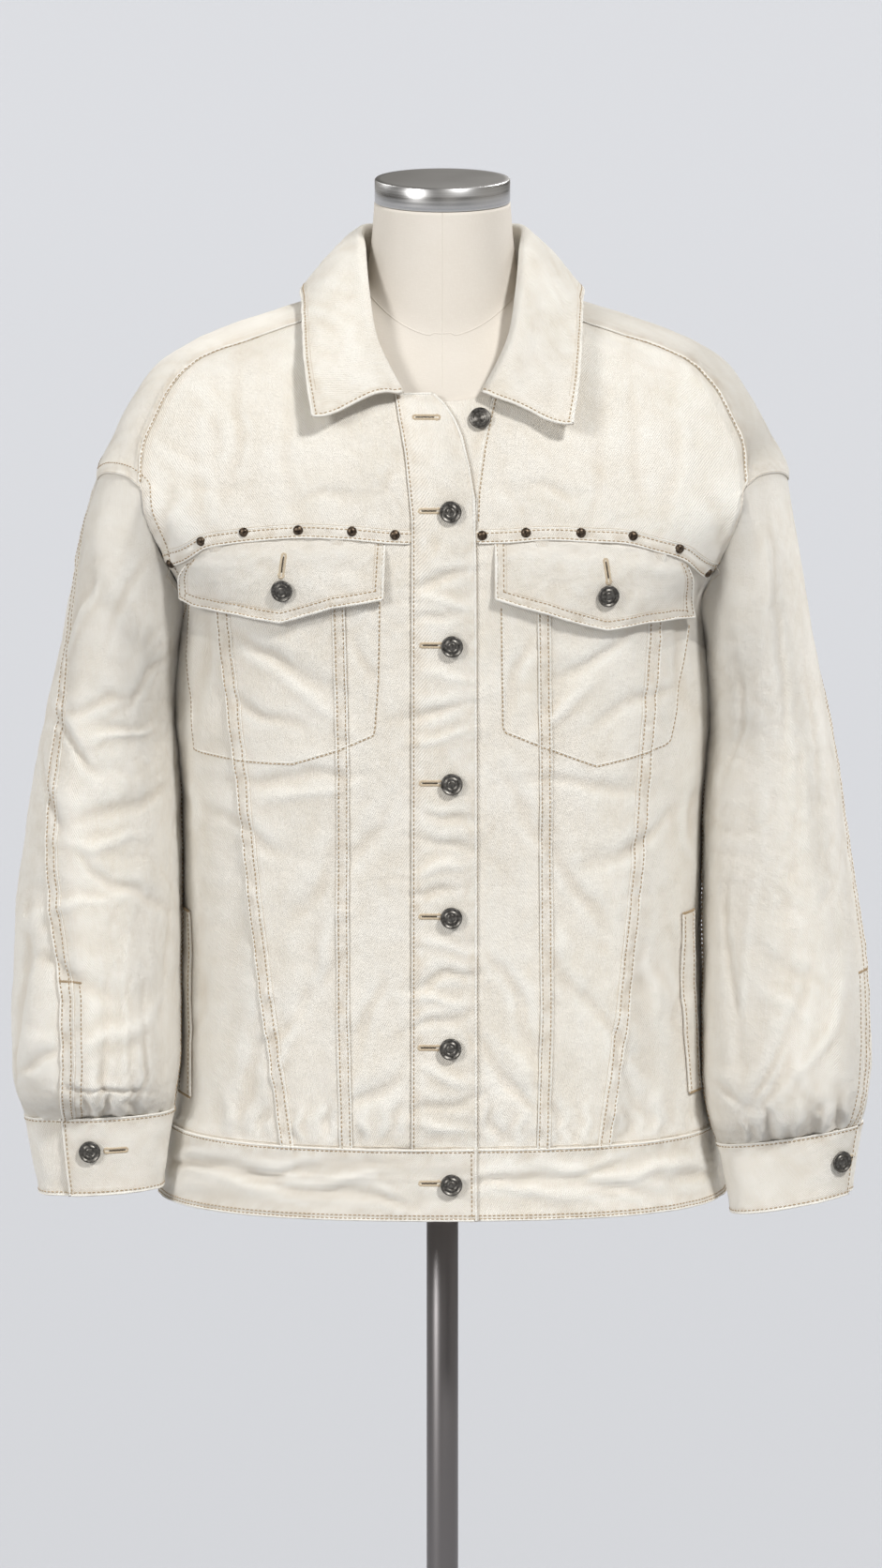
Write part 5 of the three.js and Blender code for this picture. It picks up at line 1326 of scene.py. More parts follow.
def cloth(name, at, spots, raises, held="draped", rests_on=("form",), plain=body_base, origin=FRONT_ORIGIN,
          **options):
    """A cut piece of the jacket; its flat width, length and area are worked out but not used."""
    made = cloth_object(f"{name}_cloth", at, spots, raises, **options)
    finished(made, "ecru_denim", (name,))
    width, length, area = laid_flat(plain, spots, origin)
    list(rests_on)
    return made


# Pieces of the body
LAP = 4.4
FELL = 9.2
TAG = {"L": "left", "R": "right"}


def bottom_edge(left, right):
    zero = np.zeros(1)
    a, b = left(zero)[0, 0], right(zero)[0, 0]
    return lambda s: pair(a + (b - a) * s, 1.0)


def panel_edges(side, outer_x, inner_x):
    outer_top, inner_top = find_top(side, outer_x), find_top(side, inner_x)
    from_x, to_x = float(outer_x(outer_top)), float(inner_x(inner_top))
    left, right = seam_column(outer_x, outer_top), seam_column(inner_x, inner_top)
    return bottom_edge(left, right), lambda s: yoke_spot(side, from_x + (to_x - from_x) * s), left, right


def seam_at(side, k, added=0.0):
    """x of a long front seam at a height, moved away from the middle by a distance."""
    sign = -1 if side == "L" else 1
    return lambda z: seam_x(side, k, z) + sign * added


def inner_x(side):
    rows = PLACKET_INNER if side == "L" else UNDERLAP_EDGE
    return lambda z: column(rows, z, 1)


def side_panel_edges(side, bend=0.82):
    at = seam_at(side, 1)
    top_z = find_top(side, at)
    top_x = float(at(top_z))
    sign = math.copysign(1, top_x)
    right = seam_column(at, top_z)
    left = side_edge(side, bend, YOKE_TURN, 0)
    top = lambda s: yoke_spot(side, sign * (YOKE_REACH + (abs(top_x) - YOKE_REACH) * s))
    return bottom_edge(left, right), top, left, right


def yoke_edges(side, bend=0.33, drop=1.2):
    sign = -1 if side == "L" else 1
    inner = inner_x(side)
    low_z = find_top(side, inner)
    low_x = abs(float(inner(low_z)))
    shoulder = shoulder_edge(side, 0)

    def left(t):
        z = low_z + (NECK_FRONT_Z - low_z) * t
        return pair(*front_spot(inner(z), z))

    def right(t):
        hole = pair(*armhole_spot(side, YOKE_TURN + (SHOULDER_TURN - YOKE_TURN) * np.minimum(t / bend, 1)))
        seam = shoulder(np.clip((t - bend) / (1 - bend), 0, 1))
        return np.where((t <= bend)[:, None], hole, seam)

    def bottom(s):
        spot = yoke_spot(side, sign * (low_x + (YOKE_REACH - low_x) * s))
        spot[:, 1] -= drop / 33 * ease(1, 0.9, s) * ease(0, 0.02, s)
        return spot

    end = left(np.ones(1))[0]
    goal = front_degrees(side, NECK_DEGREES)
    top = lambda s: pair(end[0] + (goal - end[0]) * s, end[1] + (NECK_LEVEL - end[1]) * np.minimum(1, s * 4))
    return bottom, top, left, right


def back_seam(share):
    start, level = armhole_spot("R", BACK_TURN)
    wave = np.sqrt(np.maximum(np.sin(np.pi * share), 0))
    return pair(180 - start + (2 * start - 180) * share, level + (BACK_YOKE_LEVEL - level) * wave)


def back_yoke_edges(hole=0.27, added=0.42):
    sweep = BACK_TURN - SHOULDER_TURN

    def bottom(s):
        left = pair(*armhole_spot("L", SHOULDER_TURN + sweep * np.clip(s / hole, 0, 1)))
        left[:, 0] += 360
        right = pair(*armhole_spot("R", SHOULDER_TURN + sweep * np.clip((1 - s) / hole, 0, 1)))
        middle = back_seam(np.clip((s - hole) / (1 - 2 * hole), 0, 1))
        middle[:, 1] -= 0.03
        return np.where((s <= hole)[:, None], left, np.where((s >= 1 - hole)[:, None], right, middle))

    start = 180 + NECK_DEGREES
    top = lambda s: pair(start + added + (-NECK_DEGREES * 2 - 180 - 2 * added) * s, NECK_LEVEL)
    fade = lambda t: ease(0, 0.06, t)[:, None] * np.array([[added, 0.0]])
    left = lambda t: shoulder_edge("L", 360)(t) + fade(t)
    right = lambda t: shoulder_edge("R", 0)(t) - fade(t)
    return bottom, top, left, right


def back_panel_edges(bend=0.75):
    left, right = side_edge("L", bend, BACK_TURN, 360), side_edge("R", bend, BACK_TURN, 0)
    return lambda s: pair(180 - 180 * s, 1.0), back_seam, left, right


def strip_edges(left_rows, right_rows):
    def edge(rows):
        low, high = rows[0, 0], rows[-1, 0]

        def along(t):
            z = low + (high - low) * t
            u, v = front_spot(column(rows, z, 1), z)
            return pair(u, np.where(t <= 0, 1.0, v))
        return along
    left, right = edge(left_rows), edge(right_rows)
    one = np.ones(1)
    a, b = left(one)[0], right(one)[0]
    return bottom_edge(left, right), lambda s: a + (b - a) * s[:, None], left, right


def band_spots(grid):
    start = float(front_spot(-18.0, 715.0)[0])
    end = float(front_spot(26.8, 715.0)[0]) + 360
    across = np.linspace(start, end, int(1180 / grid))
    up = np.linspace(0, 1.03, max(10, int(57 / grid)))
    u, v = np.meshgrid(across, up)
    return np.stack([u, v], -1), end


def band_at(end):
    def at(u, v, out=0.0):
        over = ease(end - 46, end - 26, u) * 1.7
        low = np.clip(v, 0, None)
        return body_at(u, low, out + over)
    return at


# Round trims and the stand
def lathe(profile, segments, place=(0, 0, 0), normal=(0, 0, 1)):
    """Points, faces and uv of a turned shape; profile rows are radius, height."""
    profile = np.asarray(profile, float)
    angle = np.arange(segments) * 2 * math.pi / segments
    n = unit(np.asarray(normal, float))
    side = unit(np.cross(n, [0.0, 0, 1] if abs(n[2]) < 0.9 else [1.0, 0, 0]))
    up = np.cross(n, side)
    ring = np.cos(angle)[:, None] * side + np.sin(angle)[:, None] * up
    points = np.asarray(place, float) + profile[:, 0, None, None] * ring[None] + profile[:, 1, None, None] * n
    faces = grid_faces(len(profile), segments, wrap=True)[:, ::-1]
    return points.reshape(-1, 3), faces


def stepped(profile, rounding=0.0):
    """A profile with small chamfers at its corners."""
    profile = np.asarray(profile, float)
    if rounding <= 0:
        return profile
    rows = [profile[0]]
    for before, corner, after in zip(profile[:-2], profile[1:-1], profile[2:]):
        for other in (before, after):
            reach = min(rounding, 0.45 * np.linalg.norm(other - corner))
            rows.append(corner + unit(other - corner) * reach)
    rows.append(profile[-1])
    return np.array(rows)


def turned_object(name, profile, segments, place=(0, 0, 0), normal=(0, 0, 1)):
    points, faces = lathe(profile, segments, place, normal)
    return mesh_object(name, points, faces, uv=points[:, [0, 2]])


def button_profile(r=8.6, h=4.2):
    """Shank, back plate, rolled rim and a face with plain rings."""
    face = []
    for radius in np.linspace(0.84, 0.0, 22):
        dish = 0.86 - 0.16 * math.exp(-((radius - 0.7) / 0.08) ** 2)
        dish = dish - 0.1 * math.exp(-((radius - 0.36) / 0.05) ** 2)
        bead = 0.05 * math.exp(-((radius - 0.52) / 0.05) ** 2) + 0.06 * math.exp(-(radius / 0.2) ** 2)
        face.append([r * radius, h * (dish + bead)])
    shank = [[0, -1.6], [r * 0.4, -1.6], [r * 0.4, h * 0.42], [r * 0.9, h * 0.46], [r * 0.98, h * 0.56],
             [r, h * 0.7], [r * 0.985, h * 0.84], [r * 0.95, h * 0.94], [r * 0.9, h * 0.97]]
    return shank + face


def stud_profile(r=3.9, h=2.4):
    angles = np.linspace(0, math.pi / 2, 9)
    rim = [[0, -1.0], [r, -1.0], [r, 0.25], [r * 0.93, 0.42]]
    return rim + [[r * 0.9 * math.cos(a), 0.42 + (h - 0.42) * math.sin(a)] for a in angles]


def seat_on(at, u, v, on, lift=0.0):
    """Place and normal of a trim set on the named cloth."""
    p, q = at(np.array([u]), np.array([v]), 0.0), at(np.array([u]), np.array([v]), 1.0)
    around = [at(np.array([u + du]), np.array([v + dv]), 0.0)
              for du, dv in ((1.4, 0), (-1.4, 0), (0, 0.12), (0, -0.12))]
    flat = unit(np.cross((around[0] - around[1])[0], (around[2] - around[3])[0]))
    normal = unit(q - p)[0]
    flat = flat * (1 if (flat * normal).sum() > 0 else -1)
    hit, _ = laid(p, flat[None], on)
    return hit[0] + flat * lift, flat


class JacketSizes(bpy.types.PropertyGroup):
    """Driving sizes of the jacket's looks."""

    cloth_grid: FloatProperty(name="Cloth grid", description="Spacing of the points of the cloth",
                              default=2.7 * MM, min=1.5 * MM, unit="LENGTH")
    stitch_pitch: FloatProperty(name="Stitch pitch", description="Distance from one stitch to the next",
                                default=3.6 * MM, min=2 * MM, unit="LENGTH")
    stitch_length: FloatProperty(name="Stitch length", description="Length of thread that shows in a stitch",
                                 default=2.8 * MM, min=1 * MM, unit="LENGTH")
    thread_radius: FloatProperty(name="Thread radius", description="Radius of the sewing thread",
                                 default=0.47 * MM, min=0.1 * MM, unit="LENGTH")
    camera_tilt: FloatProperty(name="Camera tilt", description="How far the camera looks down",
                               default=math.radians(9.8), subtype="ANGLE")
    camera_distance: FloatProperty(name="Camera distance", description="From the camera to the jacket",
                                   default=25.0, min=2.0, unit="LENGTH")
    view_height: FloatProperty(name="View height", description="Height that the picture takes in",
                               default=1.2289, min=0.2, unit="LENGTH")
    button_sides: IntProperty(name="Button sides", description="Segments round a button", default=48, min=12)


def colour_property(label, text, value):
    return bpy.props.FloatVectorProperty(name=label, description=text, subtype="COLOR", size=3, min=0, max=1,
                                         default=value)


class JacketFinish(bpy.types.PropertyGroup):
    """Colours of the cloth, thread and form."""

    denim_colour: colour_property("Denim", "Ecru cotton", (0.815, 0.772, 0.692))
    denim_shade: colour_property("Denim shade", "Darker patches of the cotton", (0.755, 0.700, 0.605))
    denim_light: colour_property("Denim weft", "Pale threads that show in the weave", (0.890, 0.875, 0.835))
    # Pale of rubbed edges with a painted highlight, and tan painted shade in hollows and beside raised edges
    denim_wear_and_highlight: colour_property("Rubbed edges and painted highlight", "Cotton rubbed pale, with a painted highlight on ridges", (0.880, 0.860, 0.800))
    denim_painted_shade: colour_property("Painted shade", "Tan painted shade in hollows and beside raised edges", (0.500, 0.390, 0.260))
    thread_colour: colour_property("Thread", "Tan sewing thread", (0.350, 0.255, 0.150))
    thread_faded: colour_property("Faded thread", "Thread rubbed pale", (0.500, 0.385, 0.255))
    canvas_colour: colour_property("Canvas", "Cotton cover of the form", (0.700, 0.652, 0.585))
    canvas_shade: colour_property("Canvas shade", "Darker patches of the canvas", (0.665, 0.613, 0.540))
    twill_pitch: FloatProperty(name="Twill pitch", description="Distance between twill lines in millimetres",
                               default=1.5, min=0.5)
    twill_lean: FloatProperty(name="Twill lean", description="Lean of the twill lines in degrees", default=28.0)


def sizes():
    return bpy.context.scene.jacket_sizes


def grid_mm():
    return sizes().cloth_grid / MM


class JACKET_OT_stand(bpy.types.Operator):
    """Build the dress form, its neck cap, the pole and the base"""

    bl_idname = "jacket.stand"
    bl_label = "Form and stand"

    def execute(self, context):
        lower = np.array([
            [735, 735, 735, 146, 94, 88, 2.3], [745, 745, 745, 151, 98, 92, 2.3],
            [860, 860, 860, 148, 97, 90, 2.3], [980, 980, 980, 136, 92, 84, 2.3],
            [1110, 1110, 1110, 155, 104, 97, 2.3], [1215, 1215, 1215, 174, 110, 103, 2.35],
            [1285, 1300, 1290, 186, 103, 96, 2.4]], float)
        upper = np.array([
            [1347, 1402, 1399, 70, 76, 63, 2.1], [1374, 1408, 1406, 63, 64, 60, 2],
            [1402, 1418, 1416, 59.2, 59.2, 58.5, 2], [1436, 1440, 1440, 55.6, 55.6, 55.6, 2],
            [1471, 1471, 1471, 53.2, 53.2, 53.2, 2]], float)
        degrees = np.arange(120) * 3.0
        rings = [ring_point(np.tile(row, (120, 1)), degrees) for row in lower]
        for level in (12.6, 13.3, 14, 14.6, 15.2, 15.85):
            inner = body_base(degrees, np.full(120, level))
            across = body_base(degrees + 0.2, level) - body_base(degrees - 0.2, level)
            rise = body_base(degrees, level + 0.01) - body_base(degrees, level - 0.01)
            rings.append(inner - unit(np.cross(across, rise)) * (CLOTH + 3.6))
        rings += [ring_point(np.tile(row, (120, 1)), degrees) for row in upper]
        table = np.stack(rings).reshape(len(rings), -1)
        steps = np.linspace(0, len(rings) - 1, 150)
        points = blend_rows(table, steps).reshape(-1, 3)
        faces = grid_faces(150, 120, wrap=True)
        low, high = len(points), len(points) + 1
        points = np.concatenate([points, [[0, 0, 735.0], [0, 0, 1471.0]]])
        c = np.arange(120)
        caps = np.stack([np.full(120, low), (c + 1) % 120, c], -1)
        lid = np.stack([np.full(120, high), 149 * 120 + c, 149 * 120 + (c + 1) % 120], -1)
        made = mesh_object("form_body", points, [faces, caps, lid], uv=points[:, [0, 2]])
        finished(made, "beige_canvas", ("form",))
        self.seams(table, len(rings))
        cap = stepped([[0, 1471.4], [52.6, 1471.4], [53, 1472], [53, 1490], [0, 1490]], 0.9)
        cap = np.concatenate([cap[:-1], [[48, 1490], [30, 1490], [12, 1490], [0, 1490]]])
        finished(turned_object("neck_cap_brushed", cap, 96), "brushed_steel", ("neck_cap",))
        pole = stepped([[0, 9.3], [12.4, 9.3], [12.4, 734.7], [0, 734.7]], 0.8)
        finished(turned_object("pole_polished", pole, 64), "dark_steel", ("pole",))
        base = stepped([[0, 0], [180, 0], [180, 7], [178, 9], [0, 9]], 0.8)
        finished(turned_object("base_disc", base, 128), "dark_steel", ("base",))
        return {"FINISHED"}

    @staticmethod
    def seams(table, count):
        """Sewn lines of the canvas: one round the foot of the neck and two up the middle."""
        rows = []
        degrees = np.arange(120) * 3.0
        level = count - 4.0 + 0.12 * np.cos(np.radians(degrees + 90))
        every = blend_rows(table, np.linspace(count - 6, count - 1, 60)).reshape(60, 120, 3)
        at = np.clip((level - (count - 6)) / 5 * 59, 0, 59).astype(int)
        ring = every[at, np.arange(120)]
        rows.append((np.concatenate([ring, ring[:1]]), unit(ring * [1, 1, 0])))
        for index in (90, 30):
            rows.append((every[6:, index], unit(every[6:, index] * [1, 1, 0])))
        points, faces, start = [], [], 0
        for path, out in rows:
            out = np.concatenate([out, out[:1]]) if len(out) < len(path) else out
            run = unit(np.gradient(path, axis=0))
            side = unit(np.cross(out, run))
            for k, (across, up) in enumerate(((-0.9, -0.25), (-0.3, 0.3), (0.3, 0.3), (0.9, -0.25))):
                points.append(path + side * across + out * up)
            n = len(path)
            r = np.arange(n - 1)
            for k in range(3):
                a = start + k * n + r
                faces.append(np.stack([a, a + 1, a + n + 1, a + n], -1))
            start += 4 * n
        points, faces = np.concatenate(points), np.concatenate(faces)
        made = mesh_object("form_seams", points, faces, uv=points[:, [0, 2]])
        finished(made, "beige_canvas")


class JACKET_OT_body(bpy.types.Operator):
    """Sew up the body: front panels, yokes, back, hem band, placket and underlap"""

    bl_idname = "jacket.body"
    bl_label = "Body"

    def execute(self, context):
        grid = grid_mm()
        for side in "LR":
            tag = TAG[side]
            hold = dict(held="draped", rests_on=("form",))
            spots = piece_spots(side_panel_edges(side), 110, 470, grid)
            t = np.linspace(0, 1, spots.shape[0])
            cloth(f"side_front_{tag}", body_at, spots, {"left": (FELL, np.where(t >= 0.82, 0.8, 0.55))}, **hold)
            edges = panel_edges(side, seam_at(side, 1, LAP), seam_at(side, 2, -LAP))
            cloth(f"middle_front_{tag}", body_at, piece_spots(edges, 95, 480, grid),
                  {"left": (FELL, 1.25), "right": (FELL, 1.25)}, **hold)
            edges = panel_edges(side, seam_at(side, 2), inner_x(side))
            cloth(f"centre_front_{tag}", body_at, piece_spots(edges, 58, 480, grid), {}, **hold)
            spots = piece_spots(yoke_edges(side), 225, 190, grid)
            t = np.linspace(0, 1, spots.shape[0])
            cloth(f"front_yoke_{tag}", body_at, spots,
                  {"bottom": (8.6, 1.15), "right": (9.5, np.where(t <= 0.33, 1.1, 0.0))}, **hold)
        spots = piece_spots(back_yoke_edges(), 760, 210, grid)
        cloth("back_yoke", body_at, spots, {"bottom": (9.4, 1.1), "left": (8.6, 1.25), "right": (8.6, 1.25)},
              origin=BACK_ORIGIN)
        spots = piece_spots(back_panel_edges(), 520, 480, grid)
        t = np.linspace(0, 1, spots.shape[0])
        hole = np.where(t >= 0.75, 0.8, 0.0)
        cloth("back_panel", body_at, spots, {"left": (9.5, hole), "right": (9.5, hole)}, origin=BACK_ORIGIN)
        spots, end = band_spots(grid)
        cloth("hem_band", band_at(end), spots, {"top": (6.0, 0.35), "bottom": (6.5, 0.5), "right": (6.0, 0.4)},
              held="hung", rests_on=("side_front_left", "side_front_right", "back_panel"), base_out=0.9,
              origin=BACK_ORIGIN)
        edges = strip_edges(PLACKET_INNER, UNDERLAP_EDGE)
        cloth("underlap", body_at, piece_spots(edges, 52, 600, grid), {"right": (5.0, 0.25)}, base_out=-0.6)
        edges = strip_edges(PLACKET_INNER, PLACKET_EDGE)
        cloth("placket", body_at, piece_spots(edges, 52, 600, grid),
              {"right": (5.0, 0.3), "left": (8.0, 0.35), "top": (6.0, 0.3)}, base_out=1.5,
              held="laid", rests_on=("underlap",))
        return {"FINISHED"}


class JACKET_OT_sleeves(bpy.types.Operator):
    """Sew up both sleeves and their cuffs"""

    bl_idname = "jacket.sleeves"
    bl_label = "Sleeves"

    def execute(self, context):
        grid = grid_mm()
        up = int(round(520 / grid))
        for side in "LR":
            tag = TAG[side]
            levels = np.linspace(0, SLEEVE_LAST, up + 1)
            seam = sleeve_seam(side, levels)
            for name, start, end in (("upper", seam - 3.4, np.full(up + 1, 180.0)),
                                     ("under", np.full(up + 1, 180.0), seam + 360.0)):
                count = int(round(245 / grid))
                s = np.linspace(0, 1, count + 1)
                turn = start[:, None] + (end - start)[:, None] * s
                spots = np.stack([turn, np.repeat(levels[:, None], count + 1, 1)], -1)
                raises = {"left": (8.8, 1.2), "right": (8.0, 0.6)} if name == "upper" else {}
                cloth(f"{name}_sleeve_{tag}", sleeve_at(side), spots, raises, held="hung",
                      rests_on=("form", "back_yoke"), plain=partial(sleeve_base, side),
                      origin=(UNDERARM_TURN, 0.0))
            over = CUFF_OVER[side]
            turn = np.linspace(over + CUFF_LAP, over - 360, int(round(300 / grid)))
            share = np.linspace(-0.03, 1, int(round(60 / grid)))
            u, v = np.meshgrid(turn, share)
            cloth(f"cuff_{tag}", cuff_at(side), np.stack([u, v], -1),
                  {"top": (6.5, 0.45), "bottom": (6.5, 0.4), "right": (6.5, 0.4)}, held="hung",
                  rests_on=(f"upper_sleeve_{tag}", f"under_sleeve_{tag}"), base_out=0.8, thickness=2.0,
                  closed=True,
                  plain=partial(cuff_base, side), origin=(over, 0.0))
        return {"FINISHED"}


class JACKET_OT_collar(bpy.types.Operator):
    """Fold the collar round the neck"""

    bl_idname = "jacket.collar"
    bl_label = "Collar"

    def execute(self, context):
        grid = grid_mm()
        station = np.linspace(-6, 6, int(round(430 / grid)))
        cross = np.linspace(0, 7, int(round(125 / grid)))
        u, v = np.meshgrid(station, cross)
        cloth("collar", collar_at, np.stack([u, v], -1),
              {"top": (6.5, 0.45), "left": (6.5, 0.45), "right": (6.5, 0.45)}, held="folded",
              rests_on=("back_yoke", "front_yoke_left", "front_yoke_right"), base_out=1.2, thickness=2.4,
              closed=True,
              plain=collar_base, origin=(0.0, 0.0))
        return {"FINISHED"}


class JACKET_OT_pockets(bpy.types.Operator):
    """Add the chest pocket flaps and the side pocket welts"""

    bl_idname = "jacket.pockets"
    bl_label = "Flaps and welts"

    def execute(self, context):
        grid = grid_mm() * 0.9
        for side in "LR":
            tag = TAG[side]
            u, v = np.meshgrid(np.linspace(0, 1, int(175 / grid)), np.linspace(0, 1, int(70 / grid)))
            cloth(f"pocket_flap_{tag}", flap_at(side), np.stack([u, v], -1),
                  {"left": (7.0, 0.4), "right": (7.0, 0.4), "bottom": (7.0, 0.4)}, held="laid",
                  rests_on=(f"middle_front_{tag}",), thickness=2.0, closed=True,
                  plain=flap_base(side), origin=(0.0, 0.0))
            outer, inner = welt_spots(side)
            t = np.linspace(0, 1, 60)
            both = [np.stack([np.interp(t, (0, 0.5, 1), line[:, k]) for k in (0, 1)], -1)
                    for line in (outer, inner)]
            s = np.linspace(0, 1, max(8, int(24 / grid)))[None, :, None]
            spots = both[0][:, None] * (1 - s) + both[1][:, None] * s
            cloth(f"pocket_welt_{tag}", body_at, spots, {"left": (5.0, 0.3), "right": (5.0, 0.3)}, held="laid",
                  rests_on=(f"side_front_{tag}",), base_out=1.4, thickness=1.4, closed=True)
        return {"FINISHED"}


class JACKET_OT_trims(bpy.types.Operator):
    """Set the buttons and the studs on the cloth"""

    bl_idname = "jacket.trims"
    bl_label = "Buttons and studs"

    def execute(self, context):
        sides = sizes().button_sides
        for i, (x, z) in enumerate(FRONT_BUTTONS, start=1):
            on = ["placket"] if i > 1 else ["underlap", "front_yoke_right"]
            on = ["hem_band"] if i == len(FRONT_BUTTONS) else on
            u, v = front_spot(x, z)
            self.button(f"front_button_{i}", *seat_on(body_at, float(u), float(v), on, 0.2), sides)
        for side in "LR":
            tag = TAG[side]
            x, z = FLAP_BUTTONS[side]
            place, normal = self.flap_seat(side, *flap_spot(side, x, z))
            self.button(f"flap_button_{tag}", place, normal, sides)
            turn, share = CUFF_BUTTONS[side]
            at = cuff_at(side)
            p, q = at(np.array([turn]), np.array([share]), 0), at(np.array([turn]), np.array([share]), 1)
            hit, _ = laid(p, unit(q - p), [f"cuff_{tag}"])
            self.button(f"cuff_button_{tag}", hit[0], unit(q - p)[0], sides)
        points, faces, start = [], [], 0
        on = [f"{name}_{TAG[side]}" for name in ("front_yoke", "middle_front") for side in "LR"] + ["placket"]
        for x, z in STUDS:
            u, v = front_spot(x, z)
            place, normal = seat_on(body_at, float(u), float(v), on)
            p, f = lathe(stud_profile(), 28, place, normal)
            points.append(p)
            faces.append(f + start)
            start += len(p)
        points = np.concatenate(points)
        made = mesh_object("yoke_studs", points, np.concatenate(faces), uv=points[:, [0, 2]])
        finished(made, "dark_bronze", [f"stud_{i + 1}" for i in range(len(STUDS))])
        return {"FINISHED"}

    @staticmethod
    def button(node, place, normal, segments):
        made = turned_object(f"{node}_ringed", button_profile(), segments, place, normal)
        finished(made, "antique_pewter", (node,))

    @staticmethod
    def flap_seat(side, s, t):
        at = flap_at(side)
        p = [at(np.array([s + ds]), np.array([t + dt]), 0.0)[0] for ds, dt in
             ((0, 0), (0.05, 0), (-0.05, 0), (0, 0.12), (0, -0.12))]
        normal = unit(np.cross(p[1] - p[2], p[3] - p[4]))
        normal = normal * (-1 if normal[1] > 0 else 1)
        hit, _ = laid(p[0][None], normal[None], [f"pocket_flap_{TAG[side]}"])
        return hit[0], normal


def front_pieces(tag, *more):
    return [f"{name}_{tag}" for name in ("side_front", "middle_front", "centre_front") + more]


def bag_path(bag):
    """Spots along the outline of a chest pocket bag."""
    bag = np.array(bag, float)
    run = np.r_[0, np.cumsum(np.linalg.norm(np.diff(bag, axis=0), axis=1))]
    share = np.linspace(0, run[-1], 60)
    return pair(*front_spot(np.interp(share, run, bag[:, 0]), np.interp(share, run, bag[:, 1])))


def welt_path(line):
    t = np.linspace(0, 1, 40)
    return np.stack([np.interp(t, (0, 0.5, 1), line[:, k]) for k in (0, 1)], -1)


def strip_path(rows, low, high, count, added=0.0):
    """Spots up the edge of the placket or underlap."""
    z = np.linspace(low, high, count)
    return pair(*front_spot(column(rows, z, 1) + added, z))


def flap_height(side, s):
    rows = FLAPS[side]
    return np.interp(s, rows[:, 0], rows[:, 2] - rows[:, 4])


